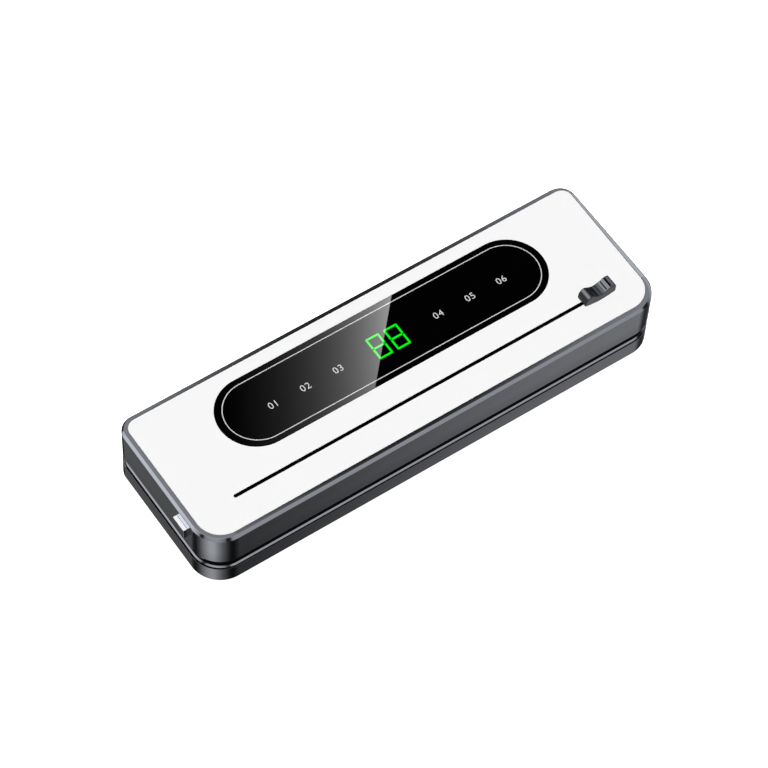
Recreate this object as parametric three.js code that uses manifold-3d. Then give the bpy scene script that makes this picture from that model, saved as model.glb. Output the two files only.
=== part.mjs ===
// A home vacuum sealer with a hinged lid, built as an assembly of separate pieces.
//
// Millimetres. +X runs to the right end, -Y to the front where the bag goes in, +Z up. The feet
// stand on z = 0 and the body is drawn centred on x = 0 and y = 0. The lid is closed, the button
// is out and the cutter is parked at the right end.

import * as THREE from 'three';
import { mergeVertices } from 'three/addons/utils/BufferGeometryUtils.js';
import Module from 'manifold-3d';

// ---------------------------------------------------------------- driving sizes

// Body, seen from above: a white panel inside a rim and a chamfer that run all round.
const panelLength = 365;
const panelDepth = 110.2;
const panelFrontRadius = 18.5;
const panelRearRadius = 8.3;
const rimWidth = 2.8;
const chamferWidth = 1.57;
const chamferDrop = 2.85;

// Body, seen from the side: base wall, groove and lid stand on the feet.
const footHeight = 2;
const baseWallHeight = 16.7;
const grooveHeight = 7.1;
const grooveDepth = 2.1;
const lidHeight = 28.5;
const edgeBreak = 0.7;

// Walls and fits.
const clearance = 0.3;
const skirtWall = 2.4;
const baseWall = 2.4;
const panelThickness = 2.5;
const flangeThickness = 2;
const flangeWidth = 4;
const deckThickness = 3.2;
const coverThickness = 3;
const coverRecess = 0.2;
const slitHeight = 2;
const bottomCoverThickness = 2.2;

// Control glass: a long black window with round ends, let into the panel.
const glassLength = 265.2;
const glassDepth = 57.3;
const glassThickness = 1.5;
const glassX = 2.5;
const glassY = 16.1;
const pocketFloor = 0.7;
const displayLength = 31;
const displayDepth = 23;
const displayX = 4.8;
const displayY = 14.2;
const displayHeight = 4.2;

// Cutter: a knob rides along a slot in the panel and pulls a blade along a rail below it.
const slotY = -32.6;
const slotWidth = 2.6;
const slotLeftMargin = 32.4;
const slotRightMargin = 30.1;
const stopGap = 0.8;
const knobLength = 25.8;
const knobDepth = 9.6;
const knobHumpHeight = 10.5;
const knobSaddleHeight = 7;
const knobSaddleX = 1.4;
const knobGap = 1;
const knobEndLift = 1.9;
const knobSocket = 3;
const stemLength = 9;
const railWall = 1.5;
const railInnerWidth = 7;
const railHeight = 10;
const railEnd = 5;
const carriageLength = 20;
const bladeThickness = 0.8;
const bladeLength = 6;
const bladeReach = 1.2;
const bladeArmThickness = 1.2;

// Vacuum chamber: a trough in the base, with a soft ring above and below.
const chamberInset = 30.5;
const chamberDepth = 47;
const chamberY = 12.5;
const chamberRadius = 12;
const gasketWidth = 5;
const gasketProud = 0.85;
const gasketGrooveDepth = 1.6;
const troughMargin = 4;
const troughDepth = 11;
const troughWall = 1.8;

// Seal bar across the front of the chamber.
const sealOverChamber = 3;
const sealY = -20;
const padWidth = 8;
const heaterBarWidth = 8;
const heaterBarHeight = 4.2;
const heaterFlange = 2;
const heaterStripWidth = 4;
const heaterStripThickness = 0.3;
const tapeThickness = 0.2;

// Hinges: a barrel in the rear groove near each end.
const hingeInset = 47.5;
const knuckleLength = 14;
const earLength = 5;
const barrelClearance = 0.85;
const pinRadius = 1;
const pinFit = 0.25;

// The release button and its hook, at the left end.
const buttonLength = 12.9;
const buttonHeight = 9.65;
const buttonProud = 6.3;
const buttonY = -28.6;
const buttonBelowChamfer = 0.4;
const buttonTravel = 3;
const buttonLip = 1.5;
const hookThickness = 2;
const hookHoleFit = 1;
const hookDepth = 9;
const hookInset = 12.9;
const barbReach = 2;
const barbHeight = 2.5;
const catchThickness = 1;
const catchWidth = 5.8;
const springRadius = 2.4;
const springWire = 0.4;
const springTurns = 4.5;
const springSpace = 7;
const springStopThickness = 2;

// Feet and screws.
const footRadius = 7;
const footInsetX = 27;
const footInsetY = 15;
const footSeat = 1.1;
const screwRadius = 1.2;
const screwHeadRadius = 2.8;
const screwHeadHeight = 1.6;
const screwSlot = 0.8;
const screwReach = 8;
const bossRadius = 4;
const baseScrewInsetX = 14;
const baseScrewInsetY = 12;

// Boards inside the lid.
const boardThickness = 1.6;
const touchBoardMargin = 18;
const touchBoardDepth = 40;
const touchPadRadius = 5;
const touchPadFirst = 41.5;
const touchPadStep = 26.5;
const touchPadY = 14;
const mainBoardLength = 90;
const mainBoardDepth = 50;
const mainBoardInset = 102.5;
const mainBoardY = 18;
const capacitorRadius = 5;
const smallCapacitorRadius = 3.2;
const smallCapacitorHeight = 8;
const relayLength = 19;
const relayDepth = 15;
const tallPartHeight = 11;
const heatSinkThickness = 4;
const chipLength = 14;
const chipDepth = 10;
const chipHeight = 1.8;
const solderDepth = 0.5;
const standoffHeight = 2;
const standoffRadius = 2.5;
const standoffInset = 5;
const ribbonWidth = 12;
const ribbonThickness = 0.4;
const transformerLength = 28;
const transformerDepth = 34;
const transformerHeight = 15;
const windingProud = 5;
const windingStep = 1.5;
const transformerInset = 31.5;
const transformerY = 10;

// Vacuum pump, its hose and the release valve inside the lid.
const motorRadius = 10;
const motorLength = 30;
const motorBoreDepth = 4;
const pumpHeadLength = 20;
const pumpHeadWidth = 22;
const pumpHeadHeight = 19.4;
const pumpCavityDepth = 12;
const pumpBracketThickness = 1.5;
const crankRadius = 4;
const crankOffset = 1.3;
const crankThickness = 4;
const shaftRadius = 1;
const nippleRadius = 1.4;
const nippleLength = 3;
const hoseRadius = 3;
const hoseWall = 1;
const hoseBend = 10;
const portInset = 8;
const valveSize = 13;
const valveHeight = 15;
const valveSpacing = 30;
const plungerRadius = 2;
const plungerLength = 10;
const ventRadius = 1.2;

// Power inlet in the rear wall of the lid, for a lead that comes off.
const inletLength = 20;
const inletHeight = 12.6;
const inletBodyDepth = 17;
const inletMouthLength = 15.6;
const inletMouthHeight = 8.6;
const inletMouthDepth = 12;
const inletInset = 42.5;
const inletLift = 2;
const inletPinRadius = 1.2;
const inletPinSpacing = 8.6;
const inletPinLength = 9;

// How finely the round shapes are drawn.
const bodyArc = 5;
const plainArc = 3;
const glassArc = 7;
const roundSides = 12;
const footSides = 18;
const hingeSides = 16;
const pinSides = 10;
const holeSides = 8;

// ---------------------------------------------------------------- levels and outlines

const band = rimWidth + chamferWidth;
const halfLength = panelLength / 2 + band;
const halfDepth = panelDepth / 2 + band;

const zBase = footHeight;
const zShelf = zBase + baseWallHeight;
const zSkirt = zShelf + grooveHeight;
const zTop = zSkirt + lidHeight;
const zCover = zSkirt + coverRecess;
const zCoverTop = zCover + coverThickness;
const zDeck = zCover - slitHeight;
const zDeckUnder = zDeck - deckThickness;
const zPanelUnder = zTop - panelThickness;
const zSeat = zPanelUnder - clearance;
const zFlangeUnder = zSeat - flangeThickness;

const slotLeft = -panelLength / 2 + slotLeftMargin;
const slotRight = panelLength / 2 - slotRightMargin;
const chamberHalfLength = panelLength / 2 - chamberInset;
const sealHalfLength = chamberHalfLength + sealOverChamber;
const chamberHalfDepth = chamberDepth / 2;

// An outline with its own radius at the front corners and at the rear corners.
function outline(halfX, halfY, frontRadius, rearRadius, x = 0, y = 0) {
  const shape = new THREE.Shape();
  const left = x - halfX;
  const right = x + halfX;
  const front = y - halfY;
  const rear = y + halfY;
  const quarter = Math.PI / 2;
  shape.moveTo(left + frontRadius, front);
  shape.lineTo(right - frontRadius, front);
  shape.absarc(right - frontRadius, front + frontRadius, frontRadius, -quarter, 0, false);
  shape.lineTo(right, rear - rearRadius);
  shape.absarc(right - rearRadius, rear - rearRadius, rearRadius, 0, quarter, false);
  shape.lineTo(left + rearRadius, rear);
  shape.absarc(left + rearRadius, rear - rearRadius, rearRadius, quarter, 2 * quarter, false);
  shape.lineTo(left, front + frontRadius);
  shape.absarc(left + frontRadius, front + frontRadius, frontRadius, 2 * quarter, 3 * quarter, false);
  return shape;
}

// The body outline, moved inwards by inset.
function bodyOutline(inset) {
  const frontRadius = Math.max(panelFrontRadius + band - inset, edgeBreak);
  const rearRadius = Math.max(panelRearRadius + band - inset, edgeBreak);
  return outline(halfLength - inset, halfDepth - inset, frontRadius, rearRadius);
}

// The chamber outline, moved inwards by inset.
function chamberOutline(inset) {
  const radius = Math.max(chamberRadius - inset, edgeBreak);
  return outline(chamberHalfLength - inset, chamberHalfDepth - inset, radius, radius, 0, chamberY);
}

// A bar shape with half-round ends.
function stadium(length, depth, x, y) {
  return outline(length / 2, depth / 2, depth / 2 - 0.01, depth / 2 - 0.01, x, y);
}

// ---------------------------------------------------------------- solids

const wasm = await Module();
wasm.setup();

// A closed three.js geometry as a solid that can be joined and cut.
function solid(geometry) {
  const plain = geometry.clone();
  plain.deleteAttribute('normal');
  plain.deleteAttribute('uv');
  const merged = mergeVertices(plain, 1e-4);
  const mesh = new wasm.Mesh({
    numProp: 3,
    vertProperties: new Float32Array(merged.attributes.position.array),
    triVerts: new Uint32Array(merged.index.array),
  });
  return new wasm.Manifold(mesh);
}

function join(first, ...others) {
  return others.reduce((whole, other) => whole.add(other), first);
}

function cut(first, ...others) {
  return others.reduce((whole, other) => whole.subtract(other), first);
}

// A solid as a three.js geometry again.
function geometryOf(body) {
  const mesh = body.getMesh();
  const geometry = new THREE.BufferGeometry();
  geometry.setAttribute('position', new THREE.BufferAttribute(new Float32Array(mesh.vertProperties), 3));
  geometry.setIndex(new THREE.BufferAttribute(new Uint32Array(mesh.triVerts), 1));
  geometry.computeVertexNormals();
  return geometry;
}

// A shape pulled up from z0 to z1.
function prism(shape, z0, z1, arcSteps = plainArc) {
  const geometry = new THREE.ExtrudeGeometry(shape, {
    depth: z1 - z0,
    bevelEnabled: false,
    curveSegments: arcSteps,
  });
  return solid(geometry.translate(0, 0, z0));
}

// The same with a chamfer of width by drop at both ends.
function chamferedPrism(shape, z0, z1, width, drop) {
  const geometry = new THREE.ExtrudeGeometry(shape, {
    depth: z1 - z0 - 2 * drop,
    bevelEnabled: true,
    bevelSegments: 1,
    bevelSize: width,
    bevelOffset: -width,
    bevelThickness: drop,
    curveSegments: bodyArc,
  });
  return solid(geometry.translate(0, 0, z0 + drop));
}

// A block between two corners.
function block(x0, x1, y0, y1, z0, z1) {
  const geometry = new THREE.BoxGeometry(x1 - x0, y1 - y0, z1 - z0);
  return solid(geometry.translate((x0 + x1) / 2, (y0 + y1) / 2, (z0 + z1) / 2));
}

// A block measured inwards from the body's end face, at the left or the right end.
function endBlock(end, inset0, inset1, y0, y1, z0, z1) {
  const near = end.sign * (halfLength - inset0);
  const far = end.sign * (halfLength - inset1);
  return block(Math.min(near, far), Math.max(near, far), y0, y1, z0, z1);
}

// Upright, lengthways and front-to-back round bars.
function barZ(radius, x, y, z0, z1, sides = roundSides) {
  const geometry = new THREE.CylinderGeometry(radius, radius, z1 - z0, sides);
  return solid(geometry.rotateX(Math.PI / 2).translate(x, y, (z0 + z1) / 2));
}

function barX(radius, x0, x1, y, z, sides = roundSides) {
  const geometry = new THREE.CylinderGeometry(radius, radius, x1 - x0, sides);
  return solid(geometry.rotateZ(Math.PI / 2).translate((x0 + x1) / 2, y, z));
}

function barY(radius, x, y0, y1, z, sides = roundSides) {
  const geometry = new THREE.CylinderGeometry(radius, radius, y1 - y0, sides);
  return solid(geometry.translate(x, (y0 + y1) / 2, z));
}

// ---------------------------------------------------------------- materials

function material(color, roughness, metalness) {
  return new THREE.MeshStandardMaterial({ color, roughness, metalness });
}

const gunmetal = material(0x4b4d53, 0.3, 0.6);
const whiteGloss = material(0xf8f8f8, 0.2, 0);
const blackGlass = material(0x060607, 0.05, 0);
const darkPlastic = material(0x1c1d20, 0.5, 0);
const knobPlastic = material(0x4a4c50, 0.35, 0.2);
const rubber = material(0x202124, 0.8, 0);
const silicone = material(0x8f9297, 0.7, 0);
const steel = material(0xb8bbc0, 0.3, 1);
const brass = material(0xb58f45, 0.35, 1);
const boardGreen = material(0x1f5a3a, 0.5, 0);
const tapeBrown = material(0x9a6b45, 0.6, 0);
const clearHose = material(0xd8d8d2, 0.4, 0);

function piece(name, body, look) {
  const mesh = new THREE.Mesh(geometryOf(body), look);
  mesh.name = name;
  return mesh;
}

// ---------------------------------------------------------------- shared places

const ends = [
  { name: 'left', sign: -1 },
  { name: 'right', sign: 1 },
];

const latchEnd = ends[0];

const hingeX = panelLength / 2 - hingeInset;
const hingeY = halfDepth - grooveHeight / 2 + barrelClearance - clearance;
const hingeZ = zShelf + grooveHeight / 2;
const hingeRadius = grooveHeight / 2 - barrelClearance;
const hingeHalf = knuckleLength / 2 + clearance + earLength;
const hingeCut = hingeHalf + clearance;
const hingeFront = hingeY - hingeRadius - 2 * clearance;

const hookHalf = hookDepth / 2;
const stemHalf = springRadius + springWire;
const zHookFoot = zDeckUnder - 2 * clearance - catchThickness - barbHeight;
const zButtonTop = zTop - chamferDrop - buttonBelowChamfer;
const zButtonFoot = zButtonTop - buttonHeight;
const zStem = zFlangeUnder - clearance - stemHalf - springWire;

const feet = [
  { name: 'front_left', x: -1, y: -1 },
  { name: 'front_right', x: 1, y: -1 },
  { name: 'rear_left', x: -1, y: 1 },
  { name: 'rear_right', x: 1, y: 1 },
];

function footPlace(corner) {
  return [corner.x * (halfLength - footInsetX), corner.y * (halfDepth - footInsetY)];
}

function baseScrewPlace(corner) {
  return [corner.x * (halfLength - baseScrewInsetX), corner.y * (halfDepth - baseScrewInsetY)];
}

// The lid screws go up beside the panel's corner, where the flange is widest.
function lidScrewPlace(corner) {
  const radius = corner.y < 0 ? panelFrontRadius : panelRearRadius;
  const inset = flangeWidth + radius * (1 - Math.SQRT1_2);
  return [corner.x * (panelLength / 2 - inset), corner.y * (panelDepth / 2 - inset)];
}

// The hole that the hook hangs through, with room for its travel and for its arc as the lid opens.
function hookHole(z0, z1) {
  return endBlock(
    latchEnd, hookInset - barbReach - clearance, hookInset + hookThickness + buttonTravel + clearance,
    buttonY - hookHalf - hookHoleFit, buttonY + hookHalf + hookHoleFit, z0, z1,
  );
}

// The cutter is parked with its stem near the right end of the slot, and cuts to the left end.
const parkX = slotRight - stopGap - stemLength / 2;
const cutEndX = slotLeft + stopGap + stemLength / 2;
const armRear = slotY + bladeThickness / 2 + clearance + bladeArmThickness;

// The main board, the transformer and the socket stand at the left end.
const mainBoardX = mainBoardInset - panelLength / 2;
const transformerX = transformerInset - panelLength / 2;
const inletX = inletInset - panelLength / 2;

// The touch board hangs under the display.
const zTouchBoard = zTop - glassThickness - clearance - displayHeight;

// The chamber port lies inside the gasket ring near the pump, and the valve beside it.
const portX = chamberHalfLength - gasketWidth - troughMargin - portInset;
const portY = chamberY + chamberHalfDepth / 4;
const valveX = portX - valveSpacing;

// The pump stands at the right end, with its head to the front and its motor behind.
const pumpX = panelLength / 2 - 2 * flangeWidth - pumpHeadWidth / 2;
const pumpFront = sealY + heaterBarWidth / 2 + 2 * heaterFlange;
const pumpZ = zCoverTop + 2 * clearance + pumpBracketThickness + motorRadius;
const motorFront = pumpFront + pumpHeadLength + clearance;
const nippleZ = pumpZ - 2 * nippleRadius;

// The socket sits in the rear wall of the lid, above the inner cover.
const inletZ = zCoverTop + clearance + inletLift + inletHeight / 2;

// ---------------------------------------------------------------- base

// Hinge ears: a barrel at each side of the knuckle, standing on the shelf.
function hingeEars(x) {
  const ears = [];
  for (const end of ends) {
    const middle = x + end.sign * (knuckleLength / 2 + clearance + earLength / 2);
    const x0 = middle - earLength / 2;
    const x1 = middle + earLength / 2;
    const barrel = barX(hingeRadius, x0, x1, hingeY, hingeZ, hingeSides);
    const stand = block(x0, x1, hingeY - hingeRadius, hingeY + hingeRadius, zShelf - baseWall / 2, hingeZ);
    ears.push(join(barrel, stand));
  }
  return ears;
}

function baseShell() {
  const wall = chamferedPrism(bodyOutline(0), zBase, zShelf, edgeBreak, edgeBreak);
  const deck = prism(bodyOutline(grooveDepth), zShelf - baseWall, zDeck, bodyArc);
  const lowHollow = prism(bodyOutline(baseWall), zBase - 1, zShelf - baseWall);
  const highHollow = prism(bodyOutline(grooveDepth + baseWall), zShelf - baseWall - 1, zDeckUnder);
  let shell = cut(join(wall, deck), lowHollow, highHollow);

  const zTroughFloor = zDeck - troughDepth;
  const troughInset = gasketWidth + troughMargin;
  const tub = prism(chamberOutline(troughInset - troughWall), zTroughFloor - troughWall, zDeck);
  const trough = prism(chamberOutline(troughInset), zTroughFloor, zDeck + 1);
  const ring = cut(
    prism(chamberOutline(-clearance), zDeck - gasketGrooveDepth, zDeck + 1),
    prism(chamberOutline(gasketWidth + clearance), zDeck - gasketGrooveDepth - 1, zDeck + 2),
  );
  const padHalf = padWidth / 2 + clearance;
  const padEnd = sealHalfLength + clearance;
  const padGroove = block(
    -padEnd, padEnd, sealY - padHalf, sealY + padHalf, zDeck - gasketGrooveDepth, zDeck + 1,
  );
  const bladeHalf = bladeThickness / 2 + 2 * clearance;
  const bladeGroove = block(
    slotLeft - bladeLength, slotRight + bladeLength, slotY - bladeHalf, slotY + bladeHalf,
    zDeck - bladeReach - 2 * clearance, zDeck + 1,
  );
  shell = cut(join(shell, tub), trough, ring, padGroove, bladeGroove);

  for (const end of ends) {
    const x = end.sign * hingeX;
    const filler = block(
      x - hingeCut - baseWall, x + hingeCut + baseWall,
      hingeFront - baseWall, halfDepth - grooveDepth - clearance, zShelf - baseWall, zDeck,
    );
    const notch = block(x - hingeCut, x + hingeCut, hingeFront, halfDepth + 1, zShelf, zDeck + 1);
    shell = cut(join(shell, filler), notch);
    const bore = barX(pinRadius + pinFit, x - hingeHalf - 1, x + hingeHalf + 1, hingeY, hingeZ, pinSides);
    shell = cut(join(shell, ...hingeEars(x)), bore);
  }
  shell = cut(shell, hookHole(zDeckUnder - 1, zDeck + 1));

  for (const corner of feet) {
    const [x, y] = baseScrewPlace(corner);
    const boss = barZ(bossRadius, x, y, zBase + bottomCoverThickness + clearance, zDeckUnder + 1);
    const bore = barZ(
      screwRadius + clearance, x, y, zBase, zBase + bottomCoverThickness + screwReach + clearance, holeSides,
    );
    shell = cut(join(shell, boss), bore);
  }
  return piece('base_shell', shell, gunmetal);
}

function baseBottomCover() {
  let plate = prism(bodyOutline(baseWall + clearance), zBase, zBase + bottomCoverThickness);
  for (const corner of feet) {
    const [footX, footY] = footPlace(corner);
    const seat = barZ(
      footRadius + clearance, footX, footY, zBase - 1, zBase + footSeat + clearance, footSides,
    );
    const [x, y] = baseScrewPlace(corner);
    const hole = barZ(screwRadius + clearance, x, y, zBase - 1, zBase + bottomCoverThickness + 1, holeSides);
    const sink = barZ(
      screwHeadRadius + clearance, x, y, zBase - 1, zBase + screwHeadHeight + clearance / 2,
    );
    plate = cut(plate, seat, hole, sink);
  }
  return piece('base_bottom_cover', plate, darkPlastic);
}

function baseFoot(corner) {
  const [x, y] = footPlace(corner);
  const profile = [
    new THREE.Vector2(0, 0),
    new THREE.Vector2(footRadius - edgeBreak, 0),
    new THREE.Vector2(footRadius, edgeBreak),
    new THREE.Vector2(footRadius, footHeight + footSeat),
    new THREE.Vector2(0, footHeight + footSeat),
  ];
  const geometry = new THREE.LatheGeometry(profile, footSides).rotateX(Math.PI / 2);
  const foot = piece(`foot_${corner.name}`, solid(geometry), rubber);
  foot.position.set(x, y, 0);
  return foot;
}

// A flat-head screw that points up from z.
function screw(name, x, y, z, length) {
  const head = barZ(screwHeadRadius, 0, 0, 0, screwHeadHeight);
  const shank = barZ(screwRadius, 0, 0, screwHeadHeight / 2, length, holeSides);
  const slot = block(
    -screwHeadRadius - 1, screwHeadRadius + 1, -screwSlot / 2, screwSlot / 2, -1, screwHeadHeight / 2,
  );
  const mesh = piece(name, cut(join(head, shank), slot), steel);
  mesh.position.set(x, y, z);
  return mesh;
}

function gasket(name, z0, z1) {
  const ring = cut(
    prism(chamberOutline(0), z0, z1),
    prism(chamberOutline(gasketWidth), z0 - 1, z1 + 1),
  );
  return piece(name, ring, silicone);
}

function sealPad() {
  const z0 = zDeck - gasketGrooveDepth + clearance;
  const pad = block(
    -sealHalfLength, sealHalfLength, sealY - padWidth / 2, sealY + padWidth / 2, z0, zDeck + gasketProud,
  );
  return piece('seal_pad', pad, silicone);
}

function hingePin(end) {
  const x = end.sign * hingeX;
  const pin = barX(pinRadius, x - hingeHalf, x + hingeHalf, hingeY, hingeZ, pinSides);
  return piece(`hinge_pin_${end.name}`, pin, steel);
}

// The steel catch lies under the deck, beside the hole that the hook comes through.
function latchCatch() {
  const near = hookInset - barbReach - clearance;
  const z1 = zDeckUnder - clearance;
  const plate = endBlock(
    latchEnd, near - catchWidth, near, buttonY - hookHalf, buttonY + hookHalf, z1 - catchThickness, z1,
  );
  return piece('latch_catch', plate, steel);
}

function base() {
  const group = new THREE.Group();
  group.add(baseShell(), baseBottomCover());
  for (const corner of feet) {
    const [x, y] = baseScrewPlace(corner);
    group.add(baseFoot(corner));
    const name = `base_screw_${corner.name}`;
    group.add(screw(name, x, y, zBase + clearance / 2, bottomCoverThickness + screwReach));
  }
  group.add(gasket('lower_gasket', zDeck - gasketGrooveDepth + clearance, zDeck + gasketProud));
  group.add(sealPad());
  group.add(...ends.map(hingePin), latchCatch());
  return group;
}

// ---------------------------------------------------------------- lid casing

function lidFrame() {
  const tapered = chamferedPrism(bodyOutline(0), zSkirt - chamferDrop, zTop, chamferWidth, chamferDrop);
  const outer = tapered.intersect(prism(bodyOutline(-1), zSkirt, zTop + 1, bodyArc));
  const hollow = prism(bodyOutline(skirtWall), zSkirt - 1, zFlangeUnder, bodyArc);
  const window = prism(bodyOutline(band + flangeWidth), zFlangeUnder - 1, zTop);
  const pocket = prism(bodyOutline(band - clearance), zSeat, zTop + 1, bodyArc);
  let frame = cut(outer, hollow, window, pocket);

  for (const corner of feet) {
    const [x, y] = lidScrewPlace(corner);
    const boss = barZ(bossRadius, x, y, zCoverTop + clearance, zFlangeUnder + 1);
    const bore = barZ(
      screwRadius + clearance, x, y, zCoverTop, zCoverTop + screwReach + clearance, holeSides,
    );
    frame = cut(join(frame, boss), bore);
  }
  const buttonHole = endBlock(
    latchEnd, -1, buttonTravel + 2 * clearance,
    buttonY - buttonLength / 2 - clearance, buttonY + buttonLength / 2 + clearance,
    zButtonFoot - clearance, zButtonTop + clearance,
  );
  const inletHole = block(
    inletX - inletLength / 2 - clearance, inletX + inletLength / 2 + clearance, halfDepth - skirtWall - 1,
    halfDepth + 1, inletZ - inletHeight / 2 - clearance, inletZ + inletHeight / 2 + clearance,
  );
  return piece('lid_frame', cut(frame, buttonHole, inletHole), gunmetal);
}

function topPanel() {
  const plate = prism(bodyOutline(band), zPanelUnder, zTop, bodyArc);
  const pocket = prism(
    stadium(glassLength + 2 * clearance, glassDepth + 2 * clearance, glassX, glassY),
    zPanelUnder + pocketFloor, zTop + 1, glassArc,
  );
  const slot = prism(
    stadium(slotRight - slotLeft, slotWidth, (slotLeft + slotRight) / 2, slotY), zPanelUnder - 1, zTop + 1,
  );
  const window = block(
    displayX - displayLength / 2 - clearance, displayX + displayLength / 2 + clearance,
    displayY - displayDepth / 2 - clearance, displayY + displayDepth / 2 + clearance,
    zPanelUnder - 1, zTop + 1,
  );
  return piece('top_panel', cut(plate, pocket, slot, window), whiteGloss);
}

function controlGlass() {
  const shape = stadium(glassLength, glassDepth, glassX, glassY);
  const glass = prism(shape, zTop - glassThickness, zTop, glassArc);
  return piece('control_glass', glass, blackGlass);
}

// The knuckle hangs from the rear edge of the inner cover, between the ears of the base.
function hingeKnuckle(x) {
  const half = knuckleLength / 2;
  const barrel = barX(hingeRadius, x - half, x + half, hingeY, hingeZ, hingeSides);
  const rear = halfDepth - skirtWall - clearance;
  const arm = block(x - half, x + half, hingeY - hingeRadius, rear, hingeZ, zCover + 1);
  return join(barrel, arm);
}

// The post that the button's return spring pushes against.
function springStop() {
  const near = hookInset + hookThickness + springSpace + clearance;
  return endBlock(
    latchEnd, near, near + springStopThickness, buttonY - hookHalf, buttonY + hookHalf,
    zCoverTop - 1, zStem + stemHalf,
  );
}

// Low posts for the corners of the main board.
function boardStandoffs() {
  const dx = mainBoardLength / 2 - standoffInset;
  const dy = mainBoardDepth / 2 - standoffInset;
  return feet.map((corner) => barZ(
    standoffRadius, mainBoardX + corner.x * dx, mainBoardY + corner.y * dy,
    zCoverTop - 1, zCoverTop + standoffHeight,
  ));
}

function lidInnerCover() {
  let plate = prism(bodyOutline(skirtWall + clearance), zCover, zCoverTop, bodyArc);
  const ring = cut(
    prism(chamberOutline(-clearance), zCover - 1, zCover + gasketGrooveDepth),
    prism(chamberOutline(gasketWidth + clearance), zCover - 2, zCover + gasketGrooveDepth + 1),
  );
  const barHalf = heaterBarWidth / 2 + clearance;
  const barEnd = sealHalfLength + clearance;
  const barHole = block(-barEnd, barEnd, sealY - barHalf, sealY + barHalf, zCover - 1, zCoverTop + 1);
  const bladeHalf = bladeThickness / 2 + 2 * clearance;
  const bladeHole = block(
    slotLeft - bladeLength, slotRight + bladeLength, slotY - bladeHalf, slotY + bladeHalf,
    zCover - 1, zCoverTop + 1,
  );
  plate = cut(plate, ring, barHole, bladeHole);

  for (const end of ends) {
    const x = end.sign * hingeX;
    const bore = barX(pinRadius + pinFit, x - knuckleLength, x + knuckleLength, hingeY, hingeZ, pinSides);
    plate = cut(join(plate, hingeKnuckle(x)), bore);
  }
  plate = join(cut(plate, hookHole(zCover - 1, zCoverTop + 1)), springStop());
  for (const corner of feet) {
    const [x, y] = lidScrewPlace(corner);
    const hole = barZ(screwRadius + clearance, x, y, zCover - 1, zCoverTop + 1, holeSides);
    const sink = barZ(
      screwHeadRadius + clearance, x, y, zCover - 1, zCover + screwHeadHeight + clearance,
    );
    plate = cut(plate, hole, sink);
  }
  const port = barZ(nippleRadius, portX, portY, zCoverTop - 1, zCoverTop + nippleLength);
  const portBore = barZ(nippleRadius / 2, portX, portY, zCover - 1, zCoverTop + nippleLength + 1, holeSides);
  const vent = barZ(ventRadius, valveX, portY, zCover - 1, zCoverTop + 1, holeSides);
  plate = cut(join(plate, port, ...boardStandoffs()), portBore, vent);
  return piece('lid_inner_cover', plate, darkPlastic);
}

// ---------------------------------------------------------------- seal bar

function heaterBar() {
  const z0 = zCover + clearance / 2;
  const half = heaterBarWidth / 2;
  const body = block(
    -sealHalfLength, sealHalfLength, sealY - half, sealY + half, z0, zCover + heaterBarHeight,
  );
  const wide = half + heaterFlange;
  const end = sealHalfLength + heaterFlange;
  const flange = block(
    -end, end, sealY - wide, sealY + wide, zCoverTop + clearance, zCoverTop + clearance + 1.2,
  );
  return piece('heater_bar', join(body, flange), darkPlastic);
}

function heaterStrip() {
  const z1 = zCover - clearance / 2 + 0.05;
  const end = sealHalfLength - heaterFlange;
  const half = heaterStripWidth / 2;
  const strip = block(-end, end, sealY - half, sealY + half, z1 - heaterStripThickness, z1);
  return piece('heater_strip', strip, steel);
}

function heaterTape() {
  const z0 = zDeck + gasketProud + clearance;
  const end = sealHalfLength;
  const half = heaterBarWidth / 2;
  const tape = block(-end, end, sealY - half, sealY + half, z0, z0 + tapeThickness);
  return piece('heater_tape', tape, tapeBrown);
}

// ---------------------------------------------------------------- boards

function touchBoard() {
  const half = touchPadFirst + 2 * touchPadStep + touchPadRadius + touchBoardMargin;
  const board = block(
    displayX - half, displayX + half, glassY - touchBoardDepth / 2, glassY + touchBoardDepth / 2,
    zTouchBoard - boardThickness, zTouchBoard,
  );
  return piece('touch_board', board, boardGreen);
}

function displayModule() {
  const module = block(
    displayX - displayLength / 2, displayX + displayLength / 2,
    displayY - displayDepth / 2, displayY + displayDepth / 2,
    zTouchBoard + clearance, zTop - glassThickness - clearance,
  );
  return piece('display_module', module, darkPlastic);
}

// Conductive foam pads carry a touch from the panel to the board, three at each side of the display.
function touchPads() {
  const pads = [];
  for (const end of ends) {
    for (let step = 0; step < 3; step += 1) {
      const x = displayX + end.sign * (touchPadFirst + step * touchPadStep);
      const pad = barZ(touchPadRadius, x, touchPadY, zTouchBoard + clearance, zPanelUnder - clearance);
      pads.push(piece(`touch_pad_${end.name}_${step + 1}`, pad, rubber));
    }
  }
  return pads;
}

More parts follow.
